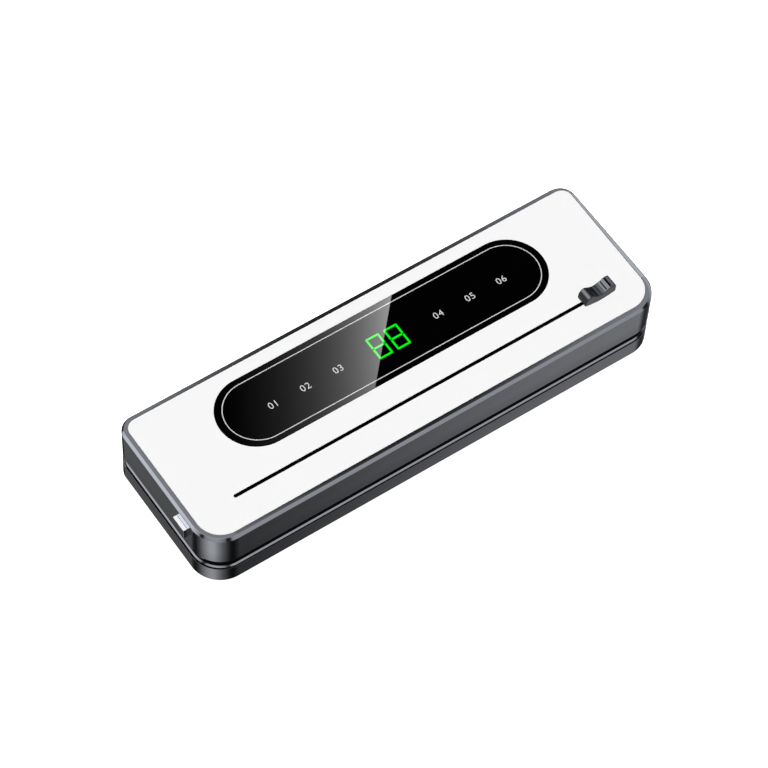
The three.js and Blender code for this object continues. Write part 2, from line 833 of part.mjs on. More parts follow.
// The main board, with its capacitors, relay, heat sink and chip as one solid.
function mainBoard() {
  const z0 = zCoverTop + standoffHeight + clearance;
  const z1 = z0 + boardThickness;
  const foot = z1 - solderDepth;
  const quarterX = mainBoardLength / 4;
  const quarterY = mainBoardDepth / 4;
  const left = mainBoardX - 1.5 * quarterX;
  const right = mainBoardX + quarterX;
  const front = mainBoardY - quarterY;
  const rear = mainBoardY + quarterY;
  const board = block(
    mainBoardX - 2 * quarterX, mainBoardX + 2 * quarterX,
    mainBoardY - 2 * quarterY, mainBoardY + 2 * quarterY, z0, z1,
  );
  const capacitor = barZ(capacitorRadius, left, front, foot, z1 + tallPartHeight);
  const smallCapacitor = barZ(
    smallCapacitorRadius, left + 2.5 * capacitorRadius, front, foot, z1 + smallCapacitorHeight,
  );
  const relay = block(
    left - relayLength / 3, left + relayLength * 2 / 3, rear - relayDepth / 2, rear + relayDepth / 2,
    foot, z1 + tallPartHeight,
  );
  const heatSink = block(
    right, right + heatSinkThickness, front - quarterY / 4, rear + quarterY / 4, foot, z1 + tallPartHeight,
  );
  const chip = block(
    mainBoardX - chipLength / 2, mainBoardX + chipLength / 2, front - chipDepth / 2, front + chipDepth / 2,
    foot, z1 + chipHeight,
  );
  return piece('main_board', join(board, capacitor, smallCapacitor, relay, heatSink, chip), boardGreen);
}

// A flat ribbon joins the two boards.
function boardRibbon() {
  const z0 = zCoverTop + standoffHeight + clearance + boardThickness + clearance;
  const x = mainBoardX;
  const y = mainBoardY + mainBoardDepth / 4;
  const ribbon = block(
    x - ribbonWidth / 2, x + ribbonWidth / 2, y, y + ribbonThickness,
    z0, zTouchBoard - boardThickness - clearance,
  );
  return piece('board_ribbon', ribbon, silicone);
}

function transformer() {
  const z0 = zCoverTop + clearance;
  const z1 = z0 + transformerHeight;
  const halfX = transformerLength / 2;
  const halfY = transformerDepth / 2;
  const core = block(
    transformerX - halfX, transformerX + halfX,
    transformerY - halfY + windingProud, transformerY + halfY - windingProud, z0, z1,
  );
  const winding = block(
    transformerX - halfX / 2, transformerX + halfX / 2,
    transformerY - halfY, transformerY + halfY, z0 + windingStep, z1 - windingStep,
  );
  return piece('transformer', join(core, winding), steel);
}

// ---------------------------------------------------------------- pump and valve

function pumpBracket() {
  const z0 = zCoverTop + clearance;
  const half = pumpHeadWidth / 2;
  const rear = motorFront + motorLength;
  const plate = block(pumpX - half, pumpX + half, pumpFront, rear, z0, z0 + pumpBracketThickness);
  const cradle = block(
    pumpX - half, pumpX + half, motorFront + motorLength / 4, rear - motorLength / 4,
    z0, pumpZ - motorRadius / 2,
  );
  const seat = barY(motorRadius + clearance, pumpX, motorFront - 1, rear + 1, pumpZ, footSides);
  return piece('pump_bracket', cut(join(plate, cradle), seat), steel);
}

function pumpMotor() {
  const can = barY(motorRadius, pumpX, motorFront, motorFront + motorLength, pumpZ, footSides);
  const bore = barY(
    shaftRadius + pinFit, pumpX, motorFront - 1, motorFront + motorBoreDepth, pumpZ, pinSides,
  );
  return piece('pump_motor', cut(can, bore), steel);
}

function pumpHead() {
  const rear = pumpFront + pumpHeadLength;
  const half = pumpHeadWidth / 2;
  const body = block(
    pumpX - half, pumpX + half, pumpFront, rear, pumpZ - pumpHeadHeight / 2, pumpZ + pumpHeadHeight / 2,
  );
  const cavity = barY(
    crankRadius + crankOffset + 2 * clearance, pumpX, rear - pumpCavityDepth, rear + 1, pumpZ, footSides,
  );
  const suction = barX(nippleRadius, pumpX - half - nippleLength, pumpX - half + 1, pumpFront + 4, nippleZ);
  const exhaust = barX(nippleRadius, pumpX - half - nippleLength, pumpX - half + 1, rear - 5, nippleZ);
  return piece('pump_head', cut(join(body, suction, exhaust), cavity), darkPlastic);
}

// The motor's shaft, with the eccentric that drives the diaphragm.
function pumpCrank() {
  const diskRear = pumpFront + pumpHeadLength - 2;
  const shaft = barY(
    shaftRadius, pumpX, diskRear - crankThickness / 2, motorFront + motorBoreDepth - clearance,
    pumpZ, pinSides,
  );
  const disk = barY(crankRadius, pumpX + crankOffset, diskRear - crankThickness, diskRear, pumpZ, roundSides);
  return piece('pump_crank', join(shaft, disk), steel);
}

// A soft hose goes from the pump head's nipple over to the port of the chamber.
function suctionHose() {
  const start = new THREE.Vector3(pumpX - pumpHeadWidth / 2 - clearance, pumpFront + 4, nippleZ);
  const finish = new THREE.Vector3(portX, portY, zCoverTop + clearance);
  const path = new THREE.CubicBezierCurve3(
    start, start.clone().add(new THREE.Vector3(-2 * hoseBend, 0, 0)),
    finish.clone().add(new THREE.Vector3(0, 0, 2 * hoseBend)), finish,
  );
  const section = new THREE.Shape().absarc(0, 0, hoseRadius, 0, 2 * Math.PI, false);
  section.holes.push(new THREE.Path().absarc(0, 0, hoseRadius - hoseWall, 0, 2 * Math.PI, true));
  const geometry = new THREE.ExtrudeGeometry(section, { steps: 10, extrudePath: path, curveSegments: 4 });
  return piece('suction_hose', solid(geometry), clearHose);
}

function valveBody() {
  const z0 = zCoverTop + clearance;
  const half = valveSize / 2;
  const body = block(valveX - half, valveX + half, portY - half, portY + half, z0, z0 + valveHeight);
  const bore = barZ(plungerRadius + pinFit, valveX, portY, z0 - 1, z0 + valveHeight + 1);
  return piece('release_valve_body', cut(body, bore), steel);
}

function valvePlunger() {
  const z0 = zCoverTop + clearance;
  return piece('release_valve_plunger', barZ(plungerRadius, valveX, portY, z0, z0 + plungerLength), brass);
}

// ---------------------------------------------------------------- power inlet

function powerInlet() {
  const rear = halfDepth - clearance;
  const body = block(
    inletX - inletLength / 2, inletX + inletLength / 2, rear - inletBodyDepth, rear,
    inletZ - inletHeight / 2, inletZ + inletHeight / 2,
  );
  const foot = block(
    inletX - inletLength / 2, inletX + inletLength / 2, rear - inletBodyDepth, rear - inletMouthDepth,
    zCoverTop + clearance, inletZ,
  );
  const mouth = prism(stadium(inletMouthLength, inletMouthHeight, 0, 0), 0, inletMouthDepth + 1)
    .rotate([-90, 0, 0])
    .translate([inletX, rear - inletMouthDepth, inletZ]);
  const bores = ends.map((end) => barY(
    inletPinRadius + pinFit, inletX + end.sign * inletPinSpacing / 2,
    rear - inletBodyDepth - 1, rear, inletZ, pinSides,
  ));
  return piece('power_inlet', cut(join(body, foot), mouth, ...bores), darkPlastic);
}

function inletPin(end) {
  const rear = halfDepth - clearance;
  const x = inletX + end.sign * inletPinSpacing / 2;
  const pin = barY(
    inletPinRadius, x, rear - inletBodyDepth, rear - inletMouthDepth + inletPinLength, inletZ, pinSides,
  );
  return piece(`inlet_pin_${end.name}`, pin, brass);
}

// ---------------------------------------------------------------- cutter

function cutterRail() {
  const z0 = zSeat - railHeight;
  const outer = railInnerWidth / 2 + railWall;
  const inner = railInnerWidth / 2;
  const left = cutEndX - carriageLength / 2 - railEnd;
  const right = parkX + carriageLength / 2 + railEnd;
  const bar = block(left, right, slotY - outer, slotY + outer, z0, zSeat);
  const channel = block(
    left + railWall, right - railWall, slotY - inner, slotY + inner, z0 + railWall, zSeat + 1,
  );
  const slit = block(
    left + railWall, right - railWall, slotY - bladeThickness / 2 - clearance, armRear + clearance,
    z0 - 1, zSeat,
  );
  return piece('cutter_rail', cut(bar, channel, slit), darkPlastic);
}

function cutterCarriage() {
  const z0 = zSeat - railHeight + railWall + clearance;
  const z1 = zPanelUnder - 2 * clearance;
  const half = railInnerWidth / 2 - clearance;
  const shoe = block(
    parkX - carriageLength / 2, parkX + carriageLength / 2, slotY - half, slotY + half, z0, z1,
  );
  const stemHalfWidth = slotWidth / 2 - clearance;
  const stem = block(
    parkX - stemLength / 2, parkX + stemLength / 2, slotY - stemHalfWidth, slotY + stemHalfWidth,
    z1 - 1, zTop + knobGap + knobSocket,
  );
  const arm = block(
    parkX - bladeLength / 2, parkX + bladeLength / 2, armRear - bladeArmThickness, armRear,
    zCoverTop + 2 * clearance, z0 + 1,
  );
  const bladeSlot = block(
    parkX - bladeLength / 2 - clearance, parkX + bladeLength / 2 + clearance,
    slotY - bladeThickness / 2 - clearance, slotY + bladeThickness / 2 + clearance, z0 - 1, z0 + 3,
  );
  return piece('cutter_carriage', join(cut(shoe, bladeSlot), stem, arm), darkPlastic);
}

// A blade with a point at its foot, sharpened both ways.
function cutterBlade() {
  const half = bladeLength / 2;
  const top = zSeat - railHeight + railWall + 3;
  const foot = zDeck - bladeReach;
  const shape = new THREE.Shape();
  shape.moveTo(-half, top);
  shape.lineTo(-half, zCover);
  shape.lineTo(0, foot);
  shape.lineTo(half, zCover);
  shape.lineTo(half, top);
  const geometry = new THREE.ExtrudeGeometry(shape, { depth: bladeThickness, bevelEnabled: false });
  geometry.rotateX(Math.PI / 2).translate(0, bladeThickness / 2, 0);
  const blade = piece('cutter_blade', solid(geometry), steel);
  blade.position.set(parkX, slotY, 0);
  return blade;
}

// The knob: two humps with a saddle for the finger, on a foot that curves up at both ends.
function cutterKnob() {
  const half = knobLength / 2;
  const shape = new THREE.Shape();
  shape.moveTo(-half, knobGap + knobEndLift);
  shape.quadraticCurveTo(0, knobGap - knobEndLift, half, knobGap + knobEndLift);
  shape.lineTo(half, knobHumpHeight - 1.6);
  shape.splineThru([
    new THREE.Vector2(half - 1.2, knobHumpHeight - 0.4),
    new THREE.Vector2(half - 4, knobHumpHeight),
    new THREE.Vector2(knobSaddleX + 3.6, knobSaddleHeight + 1.1),
    new THREE.Vector2(knobSaddleX, knobSaddleHeight),
    new THREE.Vector2(knobSaddleX - 5, knobSaddleHeight + 1.1),
    new THREE.Vector2(-half + 3.6, knobHumpHeight),
    new THREE.Vector2(-half + 1.4, knobHumpHeight - 2),
    new THREE.Vector2(-half + 0.2, knobHumpHeight - 5),
  ]);
  const geometry = new THREE.ExtrudeGeometry(shape, {
    depth: knobDepth,
    bevelEnabled: false,
    curveSegments: plainArc,
  });
  geometry.rotateX(Math.PI / 2).translate(0, knobDepth / 2, 0);
  const socket = block(
    -stemLength / 2 - clearance, stemLength / 2 + clearance, -slotWidth / 2, slotWidth / 2,
    -1, knobGap + knobSocket + clearance,
  );
  const knob = piece('cutter_knob', cut(solid(geometry), socket), knobPlastic);
  knob.position.set(parkX, slotY, zTop);
  return knob;
}

// ---------------------------------------------------------------- release button

// The button shows outside the wall, and its lip inside stops it from falling out.
function releaseButton() {
  const half = buttonLength / 2;
  const inside = zFlangeUnder - clearance;
  const cap = endBlock(
    latchEnd, -buttonProud, clearance, buttonY - half, buttonY + half, zButtonFoot, zButtonTop,
  );
  const neck = endBlock(
    latchEnd, 0, skirtWall + clearance + buttonLip, buttonY - half, buttonY + half, zButtonFoot, inside,
  );
  const lip = endBlock(
    latchEnd, skirtWall + clearance, skirtWall + clearance + buttonLip,
    buttonY - half - buttonLip, buttonY + half + buttonLip, zButtonFoot - buttonLip, inside,
  );
  const stem = endBlock(
    latchEnd, skirtWall + clearance, hookInset - clearance, buttonY - stemHalf, buttonY + stemHalf,
    zStem - stemHalf, zStem + stemHalf,
  );
  return piece('release_button', join(cap, neck, lip, stem), gunmetal);
}

// The hook hangs from the stem through the lid's cover and the deck, and turns out under the catch.
function latchHook() {
  const z1 = zStem + stemHalf;
  const y0 = buttonY - hookHalf;
  const y1 = buttonY + hookHalf;
  const plate = endBlock(latchEnd, hookInset, hookInset + hookThickness, y0, y1, zHookFoot, z1);
  const barb = endBlock(
    latchEnd, hookInset - barbReach, hookInset + hookThickness / 4, y0, y1,
    zHookFoot, zHookFoot + barbHeight,
  );
  return piece('latch_hook', join(plate, barb), steel);
}

// The return spring between the hook and its stop.
function releaseSpring() {
  class Coil extends THREE.Curve {
    getPoint(t, target = new THREE.Vector3()) {
      const turn = t * springTurns * 2 * Math.PI;
      const along = springWire + t * (springSpace - 2 * springWire);
      return target.set(along, springRadius * Math.cos(turn), springRadius * Math.sin(turn));
    }
  }
  const wire = new THREE.Shape();
  wire.moveTo(springWire, 0);
  wire.lineTo(0, springWire);
  wire.lineTo(-springWire, 0);
  wire.lineTo(0, -springWire);
  const steps = Math.round(springTurns * 8);
  const geometry = new THREE.ExtrudeGeometry(wire, { steps, extrudePath: new Coil(), curveSegments: 1 });
  const spring = piece('release_spring', solid(geometry), steel);
  const inset = hookInset + hookThickness + clearance / 2;
  spring.position.set(inset - halfLength, buttonY, zStem);
  return spring;
}

// ---------------------------------------------------------------- the assembly

function lid() {
  const group = new THREE.Group();
  group.add(lidFrame(), topPanel(), controlGlass(), lidInnerCover());
  for (const corner of feet) {
    const [x, y] = lidScrewPlace(corner);
    group.add(screw(`lid_screw_${corner.name}`, x, y, zCover + clearance / 2, coverThickness + screwReach));
  }
  group.add(gasket('upper_gasket', zDeck + gasketProud + clearance, zCover + gasketGrooveDepth - clearance));
  group.add(heaterBar(), heaterStrip(), heaterTape());
  group.add(touchBoard(), displayModule(), ...touchPads(), mainBoard(), boardRibbon(), transformer());
  group.add(pumpBracket(), pumpMotor(), pumpHead(), pumpCrank(), suctionHose());
  group.add(valveBody(), valvePlunger());
  group.add(powerInlet(), ...ends.map(inletPin));
  group.add(releaseButton(), latchHook(), releaseSpring());
  group.add(cutterRail(), cutterCarriage(), cutterBlade(), cutterKnob());
  return group;
}

const sealer = new THREE.Group();
sealer.name = 'vacuum_sealer';
sealer.add(base(), lid());

// The button makes the left end longer, so the whole is moved to stand centred on the origin.
sealer.position.x = buttonProud / 2;

export default sealer;
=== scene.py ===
# %% [markdown]
# # Countertop vacuum sealer
# The real appliance is a long, low box in two halves. A dark, lacquered lid carries a white
# top panel, a black touch glass, a sliding bag cutter and a release button at the left end. It
# closes on a base of the same lacquer. The measured model of all its parts is loaded first and
# never moved; this lesson then dresses it: it models again the pieces that meet the eye, and
# gives every other part a finish.

# %% The measured model
import math

import bmesh
import bpy
from mathutils import Matrix, Vector


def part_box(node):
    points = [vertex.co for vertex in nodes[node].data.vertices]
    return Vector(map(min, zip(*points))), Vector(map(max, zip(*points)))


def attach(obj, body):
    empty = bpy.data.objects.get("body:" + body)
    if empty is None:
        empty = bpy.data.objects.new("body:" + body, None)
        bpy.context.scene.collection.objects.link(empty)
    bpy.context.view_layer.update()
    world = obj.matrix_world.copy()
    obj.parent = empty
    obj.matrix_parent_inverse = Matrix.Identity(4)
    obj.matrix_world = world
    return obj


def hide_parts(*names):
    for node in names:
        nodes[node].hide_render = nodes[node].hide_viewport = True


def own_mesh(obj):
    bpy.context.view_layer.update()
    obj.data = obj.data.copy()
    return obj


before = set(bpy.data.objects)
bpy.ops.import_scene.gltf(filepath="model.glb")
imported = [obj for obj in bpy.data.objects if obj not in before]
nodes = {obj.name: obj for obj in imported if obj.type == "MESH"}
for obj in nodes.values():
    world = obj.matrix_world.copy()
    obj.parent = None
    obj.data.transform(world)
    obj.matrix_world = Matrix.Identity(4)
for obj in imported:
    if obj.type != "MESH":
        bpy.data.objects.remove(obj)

MM = 0.001
scene = bpy.context.scene
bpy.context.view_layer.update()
print("measured parts:", len(nodes))

# %% [markdown]
# ## Camera
# A long lens from high above the front left corner gives the calm, almost parallel view that
# catalogues use for a box like this. The camera is placed from numbers that a maker can reason
# about: its direction, its height, a slight roll, its distance, and two small slides that
# centre the box in the frame. The same could be done with a tracking constraint, but numbers
# keep the view the same each time.

# %% Camera
VIEW_TURN = math.radians(-37.247)
VIEW_HEIGHT = math.radians(56.868)
VIEW_ROLL = math.radians(3.604)
VIEW_DISTANCE = 2.2805
VIEW_SLIDE = (-0.0069, -0.017)
LENS, SENSOR, SIGHT = 157, 36, 50   # focal length and film width in mm, and how far it sees in m

lid_low, lid_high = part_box("lid_frame")
body_middle = (lid_low.x + lid_high.x) / 2   # the button stands out at the left, so it isn't zero
top_of_lid = lid_high.z
level_right = Vector((math.cos(VIEW_TURN), math.sin(VIEW_TURN), 0))
toward_viewer = Vector((
    math.sin(VIEW_TURN) * math.cos(VIEW_HEIGHT),
    -math.cos(VIEW_TURN) * math.cos(VIEW_HEIGHT),
    math.sin(VIEW_HEIGHT),
))
level_up = toward_viewer.cross(level_right)
camera_right = level_right * math.cos(VIEW_ROLL) + level_up * math.sin(VIEW_ROLL)
camera_up = level_up * math.cos(VIEW_ROLL) - level_right * math.sin(VIEW_ROLL)
camera_place = (
    Vector((body_middle, 0, top_of_lid)) + camera_right * VIEW_SLIDE[0] + camera_up * VIEW_SLIDE[1]
    + toward_viewer * VIEW_DISTANCE
)
lens = bpy.data.cameras.new("catalogue_lens")
lens.lens, lens.sensor_width, lens.clip_end = LENS, SENSOR, SIGHT
camera = bpy.data.objects.new("catalogue_camera", lens)
scene.collection.objects.link(camera)
camera.matrix_world = Matrix((
    (camera_right.x, camera_up.x, toward_viewer.x, camera_place.x),
    (camera_right.y, camera_up.y, toward_viewer.y, camera_place.y),
    (camera_right.z, camera_up.z, toward_viewer.z, camera_place.z),
    (0, 0, 0, 1),
))
scene.camera = camera
scene.view_settings.view_transform = "Standard"
print("camera at", [round(v, 3) for v in camera_place])

# %% [markdown]
# ## One helper for nodes
# Every finish below is a small tree of nodes. Wiring them by hand means adding a node, setting
# it and linking it, so one function does those three things and nothing more. Colours are
# written as the hex values that a paint chart or a browser shows, and one function turns them
# into the linear light that the renderer mixes.

# %% Node and colour helpers
def hex_to_linear(code):
    """An sRGB hex value as linear red, green, blue and a full alpha."""
    parts = [int(code[i:i + 2], 16) / 255 for i in (0, 2, 4)]
    return [p / 12.92 if p <= 0.04045 else ((p + 0.055) / 1.055) ** 2.4 for p in parts] + [1]


def add_node(tree, kind, settings=None, links=None):
    """Adds one node: settings fill its options and loose inputs, links feed its other inputs."""
    made = tree.nodes.new(kind)
    for key, value in (settings or {}).items():
        if isinstance(key, int) or key in made.inputs:
            made.inputs[key].default_value = value
        else:
            setattr(made, key, value)
    for key, socket in (links or {}).items():
        tree.links.new(socket, made.inputs[key])
    return made


# %% [markdown]
# ## Studio
# The box stands on a plain white table. Soft light falls from straight above; it lights the
# white panel evenly and isn't seen in the gloss. What the dark lacquer mirrors is the room
# round it, so the room is drawn as bands of light and dark: bright cards to the front left,
# dark gaps between them, a glow at the right for the right rim, and two dark flags overhead.
# The wide flag shades the middle of the front and rear rims; the small one keeps the touch
# glass black. Dull surfaces don't see the bands and get an even light. A room of real cards
# would do the same, but a sky of bands has no edges that stray into other views.

# %% Table and soft light
TABLE_SIZE, TABLE_GLOW = 12, 1.0
SOFTBOX_POWER, SOFTBOX_WIDTH = 2.12, math.radians(20)

bpy.ops.mesh.primitive_plane_add(size=TABLE_SIZE, location=(0, 0, 0))
table = bpy.context.object
table.name = "table"
table.visible_glossy = False
table_paint = bpy.data.materials.new("white_table_paint")
table_paint.use_nodes = True
table_shader = table_paint.node_tree.nodes["Principled BSDF"]
for socket, value in (("Base Color", hex_to_linear("f4f4f4")), ("Roughness", 0.9),
                      ("Specular IOR Level", 0), ("Emission Color", hex_to_linear("ffffff")),
                      ("Emission Strength", TABLE_GLOW)):
    table_shader.inputs[socket].default_value = value
table.data.materials.append(table_paint)

overhead_lamp = bpy.data.lights.new("overhead_softbox", "SUN")
overhead_lamp.energy, overhead_lamp.angle = SOFTBOX_POWER, SOFTBOX_WIDTH
overhead = bpy.data.objects.new("overhead_softbox", overhead_lamp)
overhead.visible_glossy = False
scene.collection.objects.link(overhead)
print("table", TABLE_SIZE, "m wide, softbox", SOFTBOX_POWER)

# %% The room that the lacquer mirrors
ROOM_FULL = 2.0  # the brightest band; the bands below are shares of white card

LOW_BANDS = [  # compass angle from the front, and brightness, below the table's edge
    (-180, 0.01), (-165, 0.01), (-152.5, 0.30), (-149.5, 0.165), (-145, 0.09), (-137, 0.03),
    (-125, 0.012), (-119, 0.05), (-108, 0.15), (-88, 0.60), (-68, 1.04), (-53, 1.0), (-43, 0.70),
    (-25, 0.30), (-6, 0.065), (3, 0.015), (15, 0.013), (23, 0.045), (33, 0.05), (36, 0.125),
    (40, 0.32), (43, 0.51), (46, 0.57), (50, 0.54), (57, 0.38), (65, 0.19), (75, 0.04),
    (100, 0.05), (116, 0.32), (133, 0.22), (150, 0.1), (180, 0.01),
]
LEVEL_BANDS = [  # the same, at eye level
    (-180, 0.015), (-152, 0.015), (-144, 1.20), (-130, 1.60), (-118, 1.88), (-108, 1.50),
    (-100, 1.20), (-92, 0.85), (-89, 0.70), (-88, 0.01), (-76.5, 0.01), (-75.5, 0.68),
    (-66, 0.80), (-56, 0.93), (-40, 0.93), (-31, 0.72), (-22, 0.52), (-19, 0.45), (-18, 0.01),
    (-4.5, 0.01), (-3.5, 0.74), (5, 0.92), (38, 0.90), (42, 0.03), (59, 0.03), (64, 0.42),
    (72, 0.58), (86, 0.95), (104, 1.30), (108, 0.12), (180, 0.02),
]

room = bpy.data.worlds.new("banded_studio_room")
scene.world = room
room.use_nodes = True
sky = room.node_tree
sky.nodes.clear()
direction = add_node(sky, "ShaderNodeSeparateXYZ", links={
    "Vector": add_node(sky, "ShaderNodeTexCoord").outputs["Generated"],
})
toward_front = add_node(sky, "ShaderNodeMath", {"operation": "MULTIPLY", 1: -1.0},
                        {0: direction.outputs["Y"]})
compass = add_node(sky, "ShaderNodeMath", {"operation": "ARCTAN2"},
                   {0: direction.outputs["X"], 1: toward_front.outputs[0]})
compass_share = add_node(sky, "ShaderNodeMapRange", {"From Min": -math.pi, "From Max": math.pi},
                         {"Value": compass.outputs[0]})
rings = []
for stops in (LOW_BANDS, LEVEL_BANDS):
    ramp = add_node(sky, "ShaderNodeValToRGB", links={"Fac": compass_share.outputs["Result"]})
    elements = ramp.color_ramp.elements
    while len(elements) < len(stops):
        elements.new(0.5)
    for element, (angle, bright) in zip(elements, stops):
        element.position = (angle + 180) / 360
    for element, (angle, bright) in zip(elements, stops):
        element.color = [bright / ROOM_FULL] * 3 + [1]
    rings.append(ramp.outputs["Color"])
low_room, level_room = rings
print("room drawn with", len(LOW_BANDS), "and", len(LEVEL_BANDS), "bands")

# %% The light overhead and its flags
EVEN_LIGHT = 0.3             # what dull surfaces get from all round
SHADES = {  # the axis, where the light starts and stops changing, and its share before and after
    "ceiling": ("X", -0.05, -0.25, 0.35, 0.65),   # brighter to the left, for the knob's slopes
    "far_right": ("X", 0.63, 0.72, 1.0, 0.1),     # dark beyond what the right rim mirrors
    "right_glow": ("X", 0.56, 0.62, 1.0, 2.2),    # what the right rim mirrors
    "above": ("Z", 0.48, 0.6, 0.0, 1.0),          # full overhead
    "below": ("Z", -0.42, -0.58, 0.0, 1.0),       # full below the table's edge
}
FLAGS = [   # the x and y of its direction, its reach along both, its soft edge, and light left
    ((0.33, 0.41), (0.057, 0.38), (0.65, 1.45), 0.06),    # over the front and rear rims
    ((0.333, 0.444), (0.058, 0.08), (1.0, 1.35), 0.0),    # over the touch glass alone
]
RISE_FROM, RISE_TO, RISE = 0.28, 0.45, 1.65   # the level bands grow brighter towards their top

shade = {}
for name, (axis, start, stop, before, after) in SHADES.items():
    shade[name] = add_node(sky, "ShaderNodeMapRange", {
        "interpolation_type": "SMOOTHSTEP", "From Min": start, "From Max": stop,
        "To Min": before, "To Max": after}, {"Value": direction.outputs[axis]}).outputs["Result"]
dimmers = [shade["far_right"], shade["right_glow"]]
for middle, reach, edge, least in FLAGS:
    reaches_away = {}
    for axis, start, size in zip("XY", middle, reach):
        reaches_away[axis] = add_node(sky, "ShaderNodeMapRange", {
            "clamp": False, "From Min": start, "From Max": start + size},
            {"Value": direction.outputs[axis]}).outputs["Result"]
    away = add_node(sky, "ShaderNodeVectorMath", {"operation": "LENGTH"}, {
        0: add_node(sky, "ShaderNodeCombineXYZ", links=reaches_away).outputs["Vector"]})
    dimmers.append(add_node(sky, "ShaderNodeMapRange", {
        "interpolation_type": "SMOOTHSTEP", "From Min": edge[0], "From Max": edge[1],
        "To Min": least}, {"Value": away.outputs["Value"]}).outputs["Result"])
light_above = shade["ceiling"]
for dimmer in dimmers:
    light_above = add_node(sky, "ShaderNodeMath", {"operation": "MULTIPLY"},
                           {0: light_above, 1: dimmer}).outputs[0]

# %% Joining the room
higher = add_node(sky, "ShaderNodeMapRange", {
    "From Min": RISE_FROM, "From Max": RISE_TO, "To Min": 1.0, "To Max": RISE},
    {"Value": direction.outputs["Z"]})
level_cards = add_node(sky, "ShaderNodeVectorMath", {"operation": "SCALE"},
                       {0: level_room, "Scale": higher.outputs["Result"]})
lower_half = add_node(sky, "ShaderNodeMix", {"data_type": "RGBA"},
                      {0: shade["below"], 6: level_cards.outputs[0], 7: low_room})
whole = add_node(sky, "ShaderNodeMix", {"data_type": "RGBA"},
                 {0: shade["above"], 6: lower_half.outputs[2], 7: light_above})
mirrored = add_node(sky, "ShaderNodeBackground", {"Strength": ROOM_FULL},
                    {"Color": whole.outputs[2]})
backdrop, even_light = [
    add_node(sky, "ShaderNodeBackground", {"Color": hex_to_linear("ffffff"), "Strength": level})
    for level in (1.0, EVEN_LIGHT)]
kind_of_ray = add_node(sky, "ShaderNodeLightPath")
lighting = add_node(sky, "ShaderNodeMixShader", links={
    0: kind_of_ray.outputs["Is Diffuse Ray"], 1: mirrored.outputs[0], 2: even_light.outputs[0]})
seen = add_node(sky, "ShaderNodeMixShader", links={
    0: kind_of_ray.outputs["Is Camera Ray"], 1: lighting.outputs[0], 2: backdrop.outputs[0]})
add_node(sky, "ShaderNodeOutputWorld", links={"Surface": seen.outputs[0]})
print("light overhead has", len(dimmers), "dimmers, of which", len(FLAGS), "flags")

# %% [markdown]
# ## The card that the glass mirrors
# A long softbox stands above and behind, and its sharp edge shows as a slanting bright wedge
# in the left half of the black glass. A mirrored card keeps its shape when it is scaled from
# the mirrored camera, so the card is first drawn on the glass where its mirror image should
# lie, and then pushed up to its height along those lines. Only the window's pieces mirror it:
# light linking keeps it out of the lacquer and the panel.

# %% Mirror card
glass_low, glass_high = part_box("control_glass")
CARD_HEIGHT, CARD_MARGIN = 0.60, 1 * MM
WEDGE_TOP_X = body_middle + 28.4 * MM    # where the wedge's edge leaves the glass
WEDGE_FOOT_X = body_middle - 24.2 * MM
mirrored_eye = Vector((camera_place.x, camera_place.y, 2 * glass_high.z - camera_place.z))
card_scale = (CARD_HEIGHT - mirrored_eye.z) / (glass_high.z - mirrored_eye.z)
wedge_slope = (WEDGE_TOP_X - WEDGE_FOOT_X) / (glass_high.y - glass_low.y)

bpy.ops.object.select_all(action="DESELECT")
bpy.ops.mesh.primitive_plane_add(size=1, location=(0, 0, 0), enter_editmode=True)
card = bpy.context.object
card.name = "mirror_card"
card_mesh = bmesh.from_edit_mesh(card.data)
for corner in card_mesh.verts:
    y = glass_high.y + CARD_MARGIN if corner.co.y > 0 else glass_low.y - CARD_MARGIN
    x = glass_low.x - CARD_MARGIN
    if corner.co.x > 0:
        x = WEDGE_FOOT_X + (y - glass_low.y) * wedge_slope
    corner.co = mirrored_eye + (Vector((x, y, glass_high.z)) - mirrored_eye) * card_scale
bmesh.update_edit_mesh(card.data)
bpy.ops.object.mode_set(mode="OBJECT")
card.visible_camera = card.visible_diffuse = card.visible_shadow = False
card_mirrors = bpy.data.collections.new("card_mirrors")   # the window's pieces are added to it
card.light_linking.receiver_collection = card_mirrors
print("card at", CARD_HEIGHT, "m, scaled by", round(card_scale, 3))

# %% Light of the card
FADE_LENGTH = 30.5 * MM                   # over it the card's light falls to about a third
CARD_FRONT, CARD_REAR = 3.95, 7.4         # its strength at the wedge's edge
CARD_DARK = 0.09                          # taken off all over, so the far end is black

card_light = bpy.data.materials.new("softbox_cloth")
card_light.use_nodes = True
cloth = card_light.node_tree
cloth.nodes.clear()
on_glass = add_node(cloth, "ShaderNodeVectorMath", {
    "operation": "MULTIPLY_ADD", 1: [1 / card_scale] * 3,
    2: mirrored_eye - mirrored_eye / card_scale,
}, {0: add_node(cloth, "ShaderNodeTexCoord").outputs["Object"]})
glass_place = add_node(cloth, "ShaderNodeSeparateXYZ", links={"Vector": on_glass.outputs[0]})
slant = add_node(cloth, "ShaderNodeMath", {
    "operation": "MULTIPLY_ADD", 1: -wedge_slope, 2: wedge_slope * glass_low.y - WEDGE_FOOT_X,
}, {0: glass_place.outputs["Y"]})
strength = add_node(cloth, "ShaderNodeMath", {"operation": "ADD"},
                    {0: glass_place.outputs["X"], 1: slant.outputs[0]})
rear_rise = add_node(cloth, "ShaderNodeMapRange", {
    "From Min": glass_low.y, "From Max": glass_high.y, "To Min": CARD_FRONT, "To Max": CARD_REAR},
    {"Value": glass_place.outputs["Y"]})
for operation, settings, links in (
        ("MULTIPLY", {1: 1 / FADE_LENGTH}, {}), ("EXPONENT", {}, {}),
        ("MULTIPLY", {}, {1: rear_rise.outputs["Result"]}),
        ("SUBTRACT", {1: CARD_DARK}, {}), ("MAXIMUM", {1: 0.0}, {})):
    strength = add_node(cloth, "ShaderNodeMath", {"operation": operation, **settings},
                        {0: strength.outputs[0], **links})
